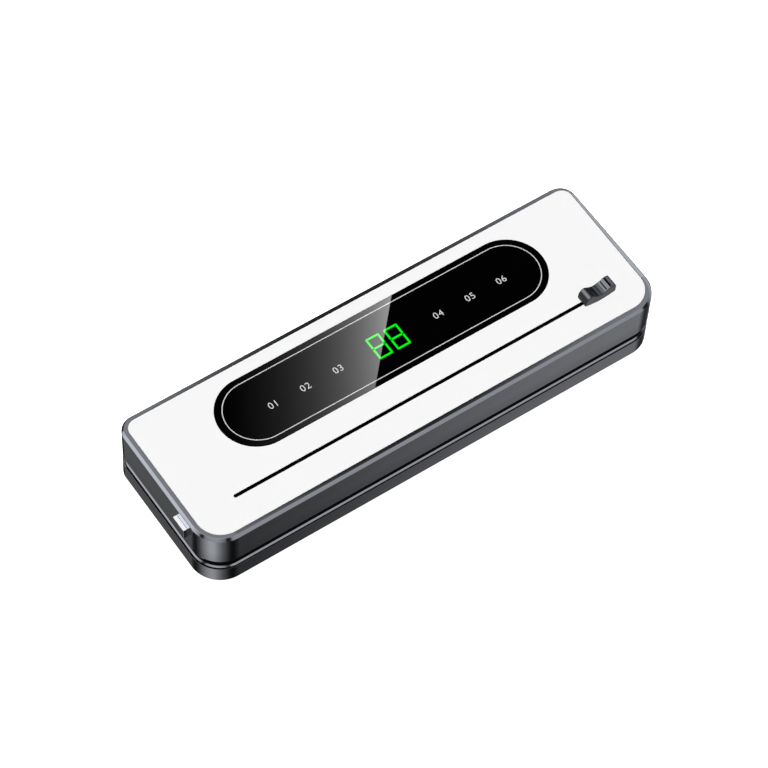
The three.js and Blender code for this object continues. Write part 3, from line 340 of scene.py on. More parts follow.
glow = add_node(cloth, "ShaderNodeEmission", {"Color": hex_to_linear("ffffff")},
                {"Strength": strength.outputs[0]})
add_node(cloth, "ShaderNodeOutputMaterial", links={"Surface": glow.outputs[0]})
card.data.materials.append(card_light)

# %% [markdown]
# ## One recipe for finishes
# Every real surface here is two things at once: a colour that wavers a little, and a gloss
# that wavers on its own scale, often with a fine unevenness of the skin. Noise makes each of
# the three, at a size in millimetres taken from how the surface was made. One recipe wires
# them; the finishes below only give it their own sizes and values.

# %% The recipe
def new_finish(name, tones, rough, sizes, values, details=(2, 2, 2), skin=None, stretch=None):
    """A material of two near tones. sizes are the grains of tone, gloss and skin in mm, details
    how far each is broken up; rough is the least and most roughness; values go on the shader
    as they are; skin is the strength and depth in mm of its unevenness; stretch draws the
    grain out."""
    finish = bpy.data.materials.new(name)
    finish.use_nodes = True
    tree = finish.node_tree
    shader = tree.nodes["Principled BSDF"]
    place = add_node(tree, "ShaderNodeTexCoord").outputs["Object"]
    if stretch:
        place = add_node(tree, "ShaderNodeMapping", {"Scale": stretch},
                         {"Vector": place}).outputs["Vector"]
    grains = [add_node(tree, "ShaderNodeTexNoise", {"Scale": 1 / (size * MM), "Detail": detail},
                       {"Vector": place}).outputs["Fac"] for size, detail in zip(sizes, details)]
    tone = add_node(tree, "ShaderNodeMix", {
        "data_type": "RGBA", 6: hex_to_linear(tones[0]), 7: hex_to_linear(tones[1])},
        {0: grains[0]})
    gloss = add_node(tree, "ShaderNodeMapRange", {"To Min": rough[0], "To Max": rough[1]},
                     {"Value": grains[1]})
    tree.links.new(tone.outputs[2], shader.inputs["Base Color"])
    tree.links.new(gloss.outputs["Result"], shader.inputs["Roughness"])
    if skin:
        uneven = add_node(tree, "ShaderNodeBump", {"Strength": skin[0], "Distance": skin[1] * MM},
                          {"Height": grains[2]})
        tree.links.new(uneven.outputs["Normal"], shader.inputs["Normal"])
    for socket, value in values.items():
        shader.inputs[socket].default_value = value
    return finish


# %% [markdown]
# ## Casing lacquer
# The lid and base are moulded in ABS and sprayed with a dark lacquer full of fine aluminium
# flakes, under a clear coat. It mirrors the room darkly, like a gun barrel, with a soft
# shimmer. A metal shader with a grey-blue tint gives that mirror; flakes of about 0.05 mm are
# too fine to show, so they are drawn at 0.5 mm, as a faint change of tint. Below the middle of
# the wall the casing's tint is darkened towards the foot: a painted shade. The rim is
# polished: a smoother copy of the same lacquer keeps the edges of the flag crisp in it. The
# knob and the button wear the same kind of lacquer in darker and greyer tones.

# %% Casing lacquer
PAINTED_SHADE_BELOW, UNSHADED_ABOVE = 29 * MM, 38 * MM
PAINTED_SHADE_SHARE = 0.79   # how much of the full tint shows at the foot: the depth of the painted shade


def sprayed_lacquer(name, dark, light, rough):
    """Flakes of tone, slow clouds of gloss and a hint of orange peel."""
    return new_finish(name, (dark, light), rough, (0.5, 18, 3.0), {"Metallic": 1.0},
                      skin=(0.04, 0.02))


casing_lacquer = sprayed_lacquer(
    "aluminium_flake_lacquer_sprayed", "86898f", "90939a", (0.13, 0.17))
tree = casing_lacquer.node_tree
tint = tree.nodes["Principled BSDF"].inputs["Base Color"]
# painted shade: the tint is scaled down below the middle of the wall
height = add_node(tree, "ShaderNodeSeparateXYZ", links={
    "Vector": add_node(tree, "ShaderNodeTexCoord").outputs["Object"]}).outputs["Z"]
painted_shade_by_height = add_node(tree, "ShaderNodeMapRange", {
    "From Min": PAINTED_SHADE_BELOW, "From Max": UNSHADED_ABOVE, "To Min": PAINTED_SHADE_SHARE}, {"Value": height})
shaded_tint = add_node(tree, "ShaderNodeVectorMath", {"operation": "SCALE"},
                  {0: tint.links[0].from_socket, "Scale": painted_shade_by_height.outputs["Result"]})
tree.links.new(shaded_tint.outputs[0], tint)

rim_lacquer = sprayed_lacquer(           # a crisp mirror
    "aluminium_flake_lacquer_polished", "86898f", "90939a", (0.07, 0.09))
knob_lacquer = sprayed_lacquer(          # a dark, soft mirror
    "dark_flake_lacquer_sprayed", "4b4d50", "525459", (0.12, 0.18))
knob_side_shade_lacquer = sprayed_lacquer(     # darker still: painted shade on the knob's sides
    "dark_flake_lacquer_painted_side_shade", "333437", "393a3d", (0.14, 0.2))
key_lacquer = sprayed_lacquer(           # mid grey
    "grey_flake_lacquer_sprayed", "74777c", "7d8086", (0.13, 0.17))
painted_highlight_lacquer = sprayed_lacquer(           # lighter: painted highlights on the ribs and humps
    "dark_flake_lacquer_painted_highlight", "74777c", "7e8187", (0.14, 0.2))
print("lacquers:", casing_lacquer.name, rim_lacquer.name, knob_lacquer.name)

# %% [markdown]
# ## Panel, glass, ink and lit digits
# The white panel is a sprayed sheet with a closed satin surface. The touch window is clear
# glass with black enamel printed on its back, so it shows one sharp mirror and nothing else.
# The line and signs are ink; the digits are light guides in the glass. Ink and digits share
# the glass's gloss, because on the real part the same clear surface covers them. Small places
# are dull black plastic or satin paint: the recesses, whose black is also painted shade, the
# knob's bare end, and the button's top, painted white and lavender as painted highlight and
# painted reflection.

# %% Panel, satin and window finishes
panel_paint = new_finish(   # an even, faintly soft white
    "white_lacquered_sheet", ("f6f6f7", "f9f9f9"), (0.42, 0.5), (25, 12, 2.5),
    {"IOR": 1.49, "Specular IOR Level": 0.12}, skin=(0.05, 0.02))


def satin(name, dark, light, rough, size_mm, level):
    """A dull moulded or painted skin; level is how much it mirrors."""
    return new_finish(name, (dark, light), (rough - 0.05, rough + 0.05), (size_mm, size_mm / 3),
                      {"Specular IOR Level": level})


# black plastic that also stands for the shade inside slots, grooves and necks: painted shade
black_and_recess_shade = satin("black_abs_and_painted_recess_shade", "060607", "0a0a0b", 0.6, 6, 0.0)   # swallows light
# the button's top: white as a painted highlight, a lavender strip as a painted reflection, and a
# grey groove between them as painted shade
key_top_highlight = satin("white_paint_painted_highlight", "f1f1f3", "f6f6f8", 0.4, 2, 0.2)
key_lavender_reflection = satin("lavender_paint_painted_reflection", "dcdff2", "e2e5f6", 0.4, 2, 0.2)
key_groove_shade = satin("grey_paint_painted_groove_shade", "a7aab5", "afb2bc", 0.5, 2, 0.2)
knob_end_black = satin("charcoal_abs_moulded", "1f2022", "26272a", 0.5, 1.5, 0.2)


def under_glass(name, first, second, size_mm):
    """A colour under clear glass: the mirror is the glass's own, with a trace of wiping haze."""
    return new_finish(name, (first, second), (0.004, 0.012), (size_mm, 30), {"IOR": 1.52})


window_glass = under_glass("black_enamelled_glass", "010101", "020203", 40)
window_ink = under_glass("silver_white_printed_ink", "d4d5d8", "dcdde0", 3)
digit_light = under_glass("green_light_guide", "00f414", "02fb1c", 4)
sockets = digit_light.node_tree.nodes["Principled BSDF"].inputs
lit_tone = sockets["Base Color"].links[0]    # here the tone is light, not paint
digit_light.node_tree.links.new(lit_tone.from_socket, sockets["Emission Color"])
digit_light.node_tree.links.remove(lit_tone)
sockets["Base Color"].default_value = hex_to_linear("040604")
sockets["Emission Strength"].default_value = 1.0
print("window finishes:", window_glass.name, window_ink.name, digit_light.name)

# %% [markdown]
# ## Hands-on helpers
# Modelling by operators means selecting first and acting second. A few helpers do the
# selecting: one makes a piece the only thing at hand, one opens it for editing, one picks its
# corners, edges or faces by where they lie, and one rounds the edges it picks. The last ones
# start every flat part of this box: a plane with its four corners rounded, larger at the
# front than at the rear. Most parts follow the body's own outline, some way inside its wall.

# %% Selecting and starting a plate
def at_hand(piece):
    """Makes the piece the only one selected, and the active one."""
    if bpy.context.object and bpy.context.object.mode == "EDIT":
        bpy.ops.object.mode_set(mode="OBJECT")
    bpy.ops.object.select_all(action="DESELECT")
    piece.select_set(True)
    bpy.context.view_layer.objects.active = piece


def open_up(piece):
    """Makes the piece the only one at hand, in edit mode."""
    at_hand(piece)
    bpy.ops.object.mode_set(mode="EDIT")


def pick(kind, test):
    """In edit mode, selects what passes: a corner's place, an edge's two ends, or a face's
    middle and normal. Returns how many passed."""
    mesh = bmesh.from_edit_mesh(bpy.context.object.data)
    bpy.ops.mesh.select_mode(type=kind)
    bpy.ops.mesh.select_all(action="DESELECT")
    if kind == "VERT":
        found = [v for v in mesh.verts if test(v.co)]
    elif kind == "EDGE":
        found = [e for e in mesh.edges if test(e.verts[0].co, e.verts[1].co)]
    else:
        found = [f for f in mesh.faces if test(f.calc_center_median(), f.normal)]
    for item in found:
        item.select_set(True)
    mesh.select_flush_mode()
    bmesh.update_edit_mesh(bpy.context.object.data)
    return len(found)


CLOSE = 0.02 * MM   # two places closer than this count as the same


def near(a, b, slack=CLOSE):
    return abs(a - b) < slack


def shift_corners(x, y, z, test):
    """Moves the corners that pass the test."""
    pick("VERT", test)
    bpy.ops.transform.translate(value=(x, y, z))


def take_all_faces():
    """Selects every face of the mesh that is open for editing."""
    bpy.ops.mesh.select_mode(type="FACE")
    bpy.ops.mesh.select_all(action="SELECT")


def start_sheet(name, low, high, z):
    """A flat rectangle between two corners, left in edit mode."""
    bpy.ops.object.select_all(action="DESELECT")
    bpy.ops.mesh.primitive_plane_add(size=1, location=(0, 0, 0), enter_editmode=True)
    bpy.context.object.name = name
    bpy.ops.transform.resize(value=(high[0] - low[0], high[1] - low[1], 1))
    bpy.ops.transform.translate(value=((low[0] + high[0]) / 2, (low[1] + high[1]) / 2, z))
    return bpy.context.object


FRONT_RADIUS, REAR_RADIUS = 22.87 * MM, 12.67 * MM
SHY = 0.005 * MM   # a round end stays this much short of a half circle, so its corners don't meet


def body_outline(inset, more_left=0, more_rear=0):
    """The body's outline, that far inside its wall: two corners, and two corner radii."""
    return ((lid_low.x + inset + more_left, lid_low.y + inset),
            (lid_high.x - inset, lid_high.y - inset - more_rear),
            FRONT_RADIUS - inset, REAR_RADIUS - inset)


def round_ended(low, high):
    """An outline with fully round ends."""
    radius = (high[1] - low[1]) / 2 - SHY
    return low, high, radius, radius


def start_plate(name, outline, z, steps=24):
    """A flat plate of that outline, left in edit mode with its face selected."""
    low, high, front_radius, rear_radius = outline
    made = start_sheet(name, low, high, z)
    middle = (low[1] + high[1]) / 2
    for radius, side in ((front_radius, -1), (rear_radius, 1)):
        pick("VERT", lambda co: (co.y - middle) * side > (high[1] - low[1]) * 0.49)
        bpy.ops.mesh.bevel(offset=radius, offset_type="OFFSET", segments=steps, profile=0.5,
                           affect="VERTICES", clamp_overlap=False)
    take_all_faces()
    return made


def extrude(x, y, z):
    """Pulls out what is selected by that much."""
    bpy.ops.mesh.extrude_region_move(TRANSFORM_OT_translate={"value": (x, y, z)})


MERGE_WITHIN = 0.001 * MM


def merge_and_turn_outwards():
    """Closes the mesh, makes its faces point outwards, and leaves edit mode."""
    bpy.ops.mesh.select_all(action="SELECT")
    bpy.ops.mesh.remove_doubles(threshold=MERGE_WITHIN)
    bpy.ops.mesh.normals_make_consistent(inside=False)
    bpy.ops.object.mode_set(mode="OBJECT")


def round_edges(piece, test, size, steps):
    """Rounds the edges whose two ends pass the test, and returns how many there were."""
    open_up(piece)
    found = pick("EDGE", test)
    bpy.ops.mesh.bevel(offset=size, segments=steps, profile=0.5, affect="EDGES")
    bpy.ops.object.mode_set(mode="OBJECT")
    return found


def own_copy(piece, name):
    """A copy with its own mesh, open for editing and selected all over."""
    copy = bpy.data.objects.new(name, piece.data.copy())
    scene.collection.objects.link(copy)
    open_up(copy)
    bpy.ops.mesh.select_all(action="SELECT")
    return copy


def plate_solid(name, outline, z0, z1, steps=24):
    """A closed plate of that outline between two heights."""
    made = start_plate(name, outline, z0, steps)
    extrude(0, 0, z1 - z0)
    merge_and_turn_outwards()
    return made


def cut_away(piece, cutter):
    """Cuts the cutter's shape out of the piece, and removes the cutter."""
    at_hand(piece)
    tool = piece.modifiers.new("cut", "BOOLEAN")
    tool.operation, tool.object, tool.solver = "DIFFERENCE", cutter, "EXACT"
    bpy.ops.object.modifier_apply(modifier=tool.name)
    bpy.data.objects.remove(cutter)


def smooth_shade(piece, angle=35):
    """Smooth shading up to that angle, with the wide faces kept truly flat."""
    at_hand(piece)
    bpy.ops.object.shade_smooth_by_angle(angle=math.radians(angle))
    weigh = piece.modifiers.new("flat_faces_first", "WEIGHTED_NORMAL")
    weigh.keep_sharp = True
    weigh.weight = 80
    bpy.ops.object.modifier_apply(modifier=weigh.name)


def finish_piece(piece, finish, body, slot, *replaced):
    """Gives the piece its material and its body, links it to the card's light if its slot is the
    window, and hides the parts it stands for.
    """
    piece.data.materials.clear()
    piece.data.materials.append(finish)
    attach(piece, body)
    if replaced:
        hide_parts(*replaced)
    if slot == "window":
        card_mirrors.objects.link(piece)
    print(piece.name, "faces:", len(piece.data.polygons))


def paint_faces(piece, finish, test):
    """Gives another finish to the faces whose middle and normal pass the test."""
    piece.data.materials.append(finish)
    place = len(piece.data.materials) - 1
    found = [face for face in piece.data.polygons if test(face.center, face.normal)]
    for face in found:
        face.material_index = place
    print(piece.name, "faces in", finish.name + ":", len(found))


# %% [markdown]
# ## Lid casing
# The lid is one moulding: a rounded frame with an upright wall, a wide chamfer, a narrow rim
# that dips slightly outwards, and inside it a ledge that the panel rests on. It could be
# swept along its outline, but starting from the rounded plate and pulling it up, in and down
# step by step gives every corner the same centre, as the mould has. The rim isn't equally wide
# all round, so the panel's outline is then moved a little at three corners. At the left end
# the wall reaches lower over the base, and its outer lip lower still.

# %% Lid casing
CHAMFER_WIDTH, CHAMFER_DROP = 1.57 * MM, 2.85 * MM
RIM_WIDTH, RIM_FALL = 3.0 * MM, 0.4 * MM
LEDGE_DEPTH, LEDGE_WIDTH, LEDGE_THICKNESS = 2.8 * MM, 4.3 * MM, 2.0 * MM
WALL = 2.4 * MM
PANEL_CORNERS = {   # which corner, right and rear being 1, and how far it moves
    (1, 1): (1.0 * MM, 0), (1, -1): (-0.4 * MM, 0.15 * MM), (-1, -1): (0, -0.45 * MM)}
panel_low, panel_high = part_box("top_panel")
LEFT_SKIRT_DROP, LEFT_SKIRT_REACH = 1.4 * MM, 3.0 * MM
LEFT_LIP_DROP, LEFT_LIP_REACH = 0.6 * MM, 1.0 * MM


def shift_panel_corners():
    """Moves corners of the panel's outline, so the rim grows slimmer or wider along its way."""
    for (side, end), (move_x, move_y) in PANEL_CORNERS.items():
        shift_corners(move_x, move_y, 0, lambda co: (
            (co.x - body_middle) * side > 0 and co.y * end > 0
            and (near(co.z, lid_high.z) or near(co.z, panel_low.z))))


lid_casing = start_plate("lid_casing", body_outline(0), lid_low.z)
extrude(0, 0, lid_high.z - CHAMFER_DROP - lid_low.z)
bpy.ops.mesh.inset(thickness=CHAMFER_WIDTH, depth=CHAMFER_DROP - RIM_FALL)
bpy.ops.mesh.inset(thickness=RIM_WIDTH, depth=RIM_FALL)
shift_panel_corners()
pick("FACE", lambda middle, normal: near(middle.z, lid_high.z))
extrude(0, 0, -LEDGE_DEPTH)
bpy.ops.mesh.inset(thickness=LEDGE_WIDTH)
extrude(0, 0, -LEDGE_THICKNESS)
bpy.ops.mesh.delete(type="FACE")

ledge_under = lid_high.z - LEDGE_DEPTH - LEDGE_THICKNESS
pick("FACE", lambda middle, normal: near(middle.z, lid_low.z))
bpy.ops.mesh.inset(thickness=WALL)
extrude(0, 0, ledge_under - lid_low.z)
bpy.ops.mesh.inset(thickness=CHAMFER_WIDTH + RIM_WIDTH + LEDGE_WIDTH - WALL)
bpy.ops.mesh.delete(type="FACE")
shift_corners(0, 0, -LEFT_SKIRT_DROP, lambda co: (
    near(co.z, lid_low.z) and co.x < lid_low.x + LEFT_SKIRT_REACH))
shift_corners(0, 0, -LEFT_LIP_DROP, lambda co: (
    near(co.z, lid_low.z - LEFT_SKIRT_DROP) and co.x < lid_low.x + LEFT_LIP_REACH))
merge_and_turn_outwards()

# %% Soft edges and openings of the lid
EDGE_ROUND = 0.22 * MM
edge_heights = (lid_low.z, lid_high.z - CHAMFER_DROP, lid_high.z - RIM_FALL, lid_high.z)
rounded = round_edges(lid_casing, lambda a, b: max(a.z, b.z) < lid_low.z + CLOSE or (
    near(a.z, b.z) and any(near(a.z, h) for h in edge_heights)), EDGE_ROUND, 2)
print("rounded", rounded, "edges of the lid")


def box_cutter(low, high, round_mm=0.4):
    """A box with slightly rounded edges, for openings."""
    bpy.ops.object.select_all(action="DESELECT")
    bpy.ops.mesh.primitive_cube_add(size=1, location=(0, 0, 0), enter_editmode=True)
    bpy.ops.transform.resize(value=[h - l for l, h in zip(low, high)])
    bpy.ops.transform.translate(value=[(l + h) / 2 for l, h in zip(low, high)])
    bpy.ops.mesh.bevel(offset=round_mm * MM, segments=3, affect="EDGES")
    bpy.ops.object.mode_set(mode="OBJECT")
    return bpy.context.object


FIT, PAST = 0.3 * MM, 1 * MM   # room round a part, and how far a cutter reaches past the wall
BUTTON_LENGTH, BUTTON_HEIGHT, BUTTON_HOLE = 12.9 * MM, 9.65 * MM, 3.6 * MM
button_low, button_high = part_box("release_button")
button_middle = (button_low.y + button_high.y) / 2
cut_away(lid_casing, box_cutter(
    (lid_low.x - PAST, button_middle - BUTTON_LENGTH / 2 - FIT,
     button_high.z - BUTTON_HEIGHT - FIT),
    (lid_low.x + BUTTON_HOLE, button_middle + BUTTON_LENGTH / 2 + FIT, button_high.z + FIT),
))
inlet_low, inlet_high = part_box("power_inlet")
INLET_HEIGHT = 12.6 * MM
cut_away(lid_casing, box_cutter(
    (inlet_low.x - FIT, lid_high.y - WALL - PAST, inlet_high.z - INLET_HEIGHT - FIT),
    (inlet_high.x + FIT, lid_high.y + PAST, inlet_high.z + FIT),
))
smooth_shade(lid_casing)
finish_piece(lid_casing, casing_lacquer, "lid", "casing", "lid_frame")
paint_faces(lid_casing, rim_lacquer, lambda middle, normal: (
    normal.z > 0.9 and middle.z > lid_high.z - RIM_FALL - EDGE_ROUND))

# %% [markdown]
# ## White panel
# The panel is a stiff sheet dropped into the rim, with a pocket for the glass, an opening for
# the display and the long slot in which the cutter runs. It starts as the same rounded plate.
# The pocket and the slot are cut with plates that have fully round ends.

# %% White panel
PANEL_GAP = 0.06 * MM
panel_inset = CHAMFER_WIDTH + RIM_WIDTH + PANEL_GAP
white_panel = start_plate("white_panel", body_outline(panel_inset), panel_low.z)
shift_panel_corners()
pick("FACE", lambda middle, normal: near(middle.z, panel_low.z))
extrude(0, 0, panel_high.z - panel_low.z)
merge_and_turn_outwards()

# %% Pocket, slot and display opening
POCKET_GAP, POCKET_FLOOR, DISPLAY_CUT = 0.05 * MM, 0.7 * MM, 0.9 * MM
SLOT_MIDDLE, SLOT_WIDTH, DARK_FROM = -32.6 * MM, 2.75 * MM, 0.05 * MM
SLOT_FROM_LEFT, SLOT_FROM_RIGHT = 31.7 * MM, 30.1 * MM
cut_away(white_panel, plate_solid(
    "pocket_cutter", round_ended((glass_low.x - POCKET_GAP, glass_low.y - POCKET_GAP),
                                 (glass_high.x + POCKET_GAP, glass_high.y + POCKET_GAP)),
    panel_low.z + POCKET_FLOOR, panel_high.z + PAST, 32))
cut_away(white_panel, plate_solid(
    "slot_cutter", round_ended((panel_low.x + SLOT_FROM_LEFT, SLOT_MIDDLE - SLOT_WIDTH / 2),
                               (panel_high.x - SLOT_FROM_RIGHT, SLOT_MIDDLE + SLOT_WIDTH / 2)),
    panel_low.z - PAST, panel_high.z + PAST, 10))
display_low, display_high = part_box("display_module")
cut_away(white_panel, box_cutter(
    (display_low.x - FIT, display_low.y - FIT, panel_low.z - PAST),
    (display_high.x + FIT, display_high.y + FIT, panel_low.z + DISPLAY_CUT)))
smooth_shade(white_panel)
finish_piece(white_panel, panel_paint, "lid", "panel", "top_panel")
# painted shade: the slot's walls get the black finish
paint_faces(white_panel, black_and_recess_shade, lambda middle, normal: (
    abs(middle.y - SLOT_MIDDLE) < SLOT_WIDTH and middle.z < panel_high.z - DARK_FROM))

# %% [markdown]
# ## Touch glass
# The window is a 1.5 mm glass with round ends and a ground edge. A printed line runs inside
# its border. The line is drawn as a thin ring of the same outline: a round-ended plate, inset
# by the line's width, with its middle taken out.

# %% Touch glass and its printed line
GLASS_ROUND, INK, INK_LIFT, LINE_WIDTH = 0.18 * MM, 0.03 * MM, 0.005 * MM, 0.64 * MM
ROUND_STEPS = 40
touch_glass = plate_solid(
    "touch_glass", round_ended(glass_low, glass_high), glass_low.z, glass_high.z, ROUND_STEPS)
round_edges(touch_glass, lambda a, b: near(a.z, glass_high.z) and near(b.z, glass_high.z),
            GLASS_ROUND, 2)
smooth_shade(touch_glass)
finish_piece(touch_glass, window_glass, "lid", "window", "control_glass")

ink_z = glass_high.z + INK_LIFT
printed_line = start_plate("printed_line", round_ended(
    (body_middle - 124.6 * MM, -8.2 * MM), (body_middle + 130.1 * MM, 40.4 * MM)),
    ink_z, ROUND_STEPS)
bpy.ops.mesh.inset(thickness=LINE_WIDTH)
bpy.ops.mesh.delete(type="FACE")
bpy.ops.mesh.select_all(action="SELECT")
extrude(0, 0, INK)
merge_and_turn_outwards()
finish_piece(printed_line, window_ink, "lid", "window")

# %% [markdown]
# ## Lit digits
# Two seven-segment figures shine through the glass. Each segment is a flat light guide with
# mitred ends and softened corners. A top bar, an upright and a middle bar are shaped once; the
# rest of the figure is made of their turned copies, and the two figures are copies of it.

# %% Lit digits
STROKE, SEGMENT_GAP = 1.5 * MM, 0.2 * MM
FIGURE_WIDTH, FIGURE_HEIGHT = 11.05 * MM, 18.95 * MM
figure_middle_y = 14.17 * MM
figure_middles = (body_middle - 2.65 * MM, body_middle + 12.1 * MM)


def light_bar(name, x0, x1, y0, y1, shifts):
    """A flat bar; shifts moves a corner, named by its sides, to mitre the end."""
    made = start_sheet(name, (x0, y0), (x1, y1), ink_z)
    for (right, upper), (dx, dy) in shifts.items():
        shift_corners(dx, dy, 0, lambda co: (
            (co.x > (x0 + x1) / 2) == right and (co.y > (y0 + y1) / 2) == upper))
    take_all_faces()
    extrude(0, 0, INK)
    merge_and_turn_outwards()
    return made


half_w, half_h, gap = FIGURE_WIDTH / 2, FIGURE_HEIGHT / 2, SEGMENT_GAP
mitre = STROKE - gap
top_bar = light_bar("segment_top", -half_w + gap, half_w - gap, half_h - STROKE, half_h,
                    {(False, False): (mitre, 0), (True, False): (-mitre, 0)})
upright = light_bar("segment_upright", -half_w, -half_w + STROKE, gap, half_h - gap,
                    {(True, True): (0, -mitre), (True, False): (0, mitre / 2)})
middle_bar = light_bar("segment_middle", -half_w + STROKE * 0.75, half_w - STROKE * 0.75,
                       -STROKE / 2, STROKE / 2, {})
for bar, size, steps in ((middle_bar, STROKE * 0.4, 1), (middle_bar, 0.1 * MM, 2),
                         (top_bar, 0.3 * MM, 3), (upright, 0.3 * MM, 3)):
    round_edges(bar, lambda a, b: near(a.x, b.x) and near(a.y, b.y), size, steps)


def turned_copy(piece, sx, sy):
    """The piece mirrored about the figure's middle lines."""
    copy = own_copy(piece, piece.name + "_copy")
    bpy.ops.transform.resize(value=(sx, sy, 1), center_override=(0, 0, 0))
    merge_and_turn_outwards()
    return copy


bars = [top_bar, upright, middle_bar, turned_copy(top_bar, 1, -1), turned_copy(upright, -1, 1),
        turned_copy(upright, 1, -1), turned_copy(upright, -1, -1)]
at_hand(bars[0])
for bar in bars:
    bar.select_set(True)
bpy.ops.object.join()
figure = bpy.context.object
for name, middle_x in zip(("digit_tens", "digit_ones"), figure_middles):
    digit = own_copy(figure, name)
    bpy.ops.transform.translate(value=(middle_x, figure_middle_y, 0))
    bpy.ops.object.mode_set(mode="OBJECT")
    finish_piece(digit, digit_light, "lid", "window")
bpy.data.objects.remove(figure)

# %% [markdown]
# ## Key numbers
# Three touch keys lie on each side of the digits. Each is marked with a plain number in the
# same ink as the line. Text is the natural tool: it is typed, turned into a mesh, scaled to
# its height and laid on the glass over its touch pad.

# %% Key numbers
SIGN_HEIGHT, SIGN_SPACING, SIGN_MIDDLE_Y = 5.2 * MM, 1.12, 14.0 * MM
key_pads = ["touch_pad_left_3", "touch_pad_left_2", "touch_pad_left_1",
            "touch_pad_right_1", "touch_pad_right_2", "touch_pad_right_3"]
for number, pad in enumerate(key_pads, 1):
    pad_low, pad_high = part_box(pad)
    bpy.ops.object.select_all(action="DESELECT")
    bpy.ops.object.text_add(location=(0, 0, 0))
    text = bpy.context.object
    text.name = f"key_number_{number}"
    text.data.body = f"0{number}"
    text.data.space_character = SIGN_SPACING
    bpy.ops.object.convert(target="MESH")
    sign = bpy.context.object
    corners = [Vector(c) for c in sign.bound_box]
    middle = (corners[0] + corners[6]) / 2
    size = SIGN_HEIGHT / (corners[6].y - corners[0].y)
    bpy.ops.object.mode_set(mode="EDIT")
    take_all_faces()
    bpy.ops.transform.translate(value=-middle)
    bpy.ops.transform.resize(value=(size, size, 1), center_override=(0, 0, 0))
    bpy.ops.transform.translate(value=((pad_low.x + pad_high.x) / 2, SIGN_MIDDLE_Y, ink_z))
    extrude(0, 0, INK)
    merge_and_turn_outwards()
    finish_piece(sign, window_ink, "lid", "window")

# %% [markdown]
# ## Cutter knob
# The slider's grip is a small moulded saddle: two humps for finger and thumb, a dip between
# them, and ribs on the slope so that it doesn't slip. Its side outline is the part that
# matters, so that is drawn point by point, filled, pulled out to its width and softened at
# its edges, as a hand modeller would trace a template. Grooves are cut to leave the ribs. The
# grooves are painted black as painted shade; the rib tops, a strip on the left hump and the
# right hump's top get a lighter lacquer as painted highlights; the sides get a darker copy of
# the lacquer as painted shade, and the left end stays bare charcoal plastic. The grip throws
# no shadow: in this even light a saddle this small leaves only a smudge at its foot, which
# would make its side look taller than it is.

# %% Side outline of the knob
knob_low, knob_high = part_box("cutter_knob")
knob_x = (knob_low.x + knob_high.x) / 2


def smooth_through(points, steps):
    """A smooth line through the points, with that many steps between each two."""
    line = []
    ends = [points[0]] + points + [points[-1]]
    for i in range(1, len(ends) - 2):
        a, b, c, d = ends[i - 1:i + 3]
        for step in range(steps):
            t = step / steps
            line.append(tuple(
                ((2 * b[k] + (c[k] - a[k]) * t + (2 * a[k] - 5 * b[k] + 4 * c[k] - d[k]) * t * t
                  + (3 * b[k] - a[k] - 3 * c[k] + d[k]) * t ** 3) / 2) for k in (0, 1)))
    return line + [points[-1]]


HALF_LENGTH, FOOT_HEIGHT, FOOT_BOW, FOOT_STEPS = 12.9, 2.2, 8.6, 12   # in mm; the foot is arched
foot = [(HALF_LENGTH * (2 * t - 1), FOOT_HEIGHT - FOOT_BOW * t * (1 - t))
        for t in [i / FOOT_STEPS for i in range(FOOT_STEPS + 1)]]
humps = smooth_through([
    (HALF_LENGTH, FOOT_HEIGHT), (HALF_LENGTH, 7.2), (12.3, 9.1), (11, 10.15), (9.1, 10.2),
    (6.6, 9.05), (4, 7.75), (1.4, 7), (-0.6, 6.75), (-3.6, 7.6), (-7.3, 10), (-9.1, 10.4),
    (-10.8, 9.5), (-12.3, 7.6), (-HALF_LENGTH, 5.2), (-HALF_LENGTH, FOOT_HEIGHT)], 5)
outline = [(knob_x + x * MM, top_of_lid + z * MM) for x, z in foot + humps[1:-1]]

bpy.ops.object.select_all(action="DESELECT")
bpy.ops.mesh.primitive_plane_add(size=1, location=(0, 0, 0), enter_editmode=True)
knob_grip = bpy.context.object
knob_grip.name = "cutter_knob_grip"
bpy.ops.mesh.select_mode(type="VERT")
bpy.ops.mesh.select_all(action="SELECT")
bpy.ops.mesh.merge(type="CENTER")
bpy.ops.transform.translate(value=(outline[0][0], knob_low.y, outline[0][1]))
for (x0, z0), (x1, z1) in zip(outline, outline[1:]):
    extrude(x1 - x0, 0, z1 - z0)
bpy.ops.mesh.select_all(action="SELECT")
bpy.ops.mesh.edge_face_add()
take_all_faces()
extrude(0, knob_high.y - knob_low.y, 0)
merge_and_turn_outwards()
print("outline of the knob:", len(outline), "points")

# %% Soft edges, ribs and grooves of the knob
KNOB_ROUND, END_MARGIN, GROOVE_ROUND_MM = 0.6 * MM, 0.9 * MM, 0.08
GROOVES = [(2.65, 2.95, 0.2), (4.65, 5.45, 0.5), (7.65, 8.85, 0.8)]   # from, to and depth, in mm
RIBS_FROM, RIBS_TO, KNOB_CLEAR, NEARBY = 1.5, 7.65, 12, 0.6

side_rims = round_edges(knob_grip, lambda a, b: near(a.y, b.y), KNOB_ROUND, 4)
open_up(knob_grip)
bpy.ops.mesh.select_all(action="SELECT")
bpy.ops.mesh.bisect(plane_co=(knob_x + RIBS_FROM * MM, 0, 0), plane_no=(1, 0, 0))
bpy.ops.object.mode_set(mode="OBJECT")
groove_ends = (knob_low.y + END_MARGIN, knob_high.y - END_MARGIN)


def height_on(line, x):
    """The highest point of the outline near that x, in mm above the panel."""
    return max(z for px, z in line if abs(px - x) < NEARBY)


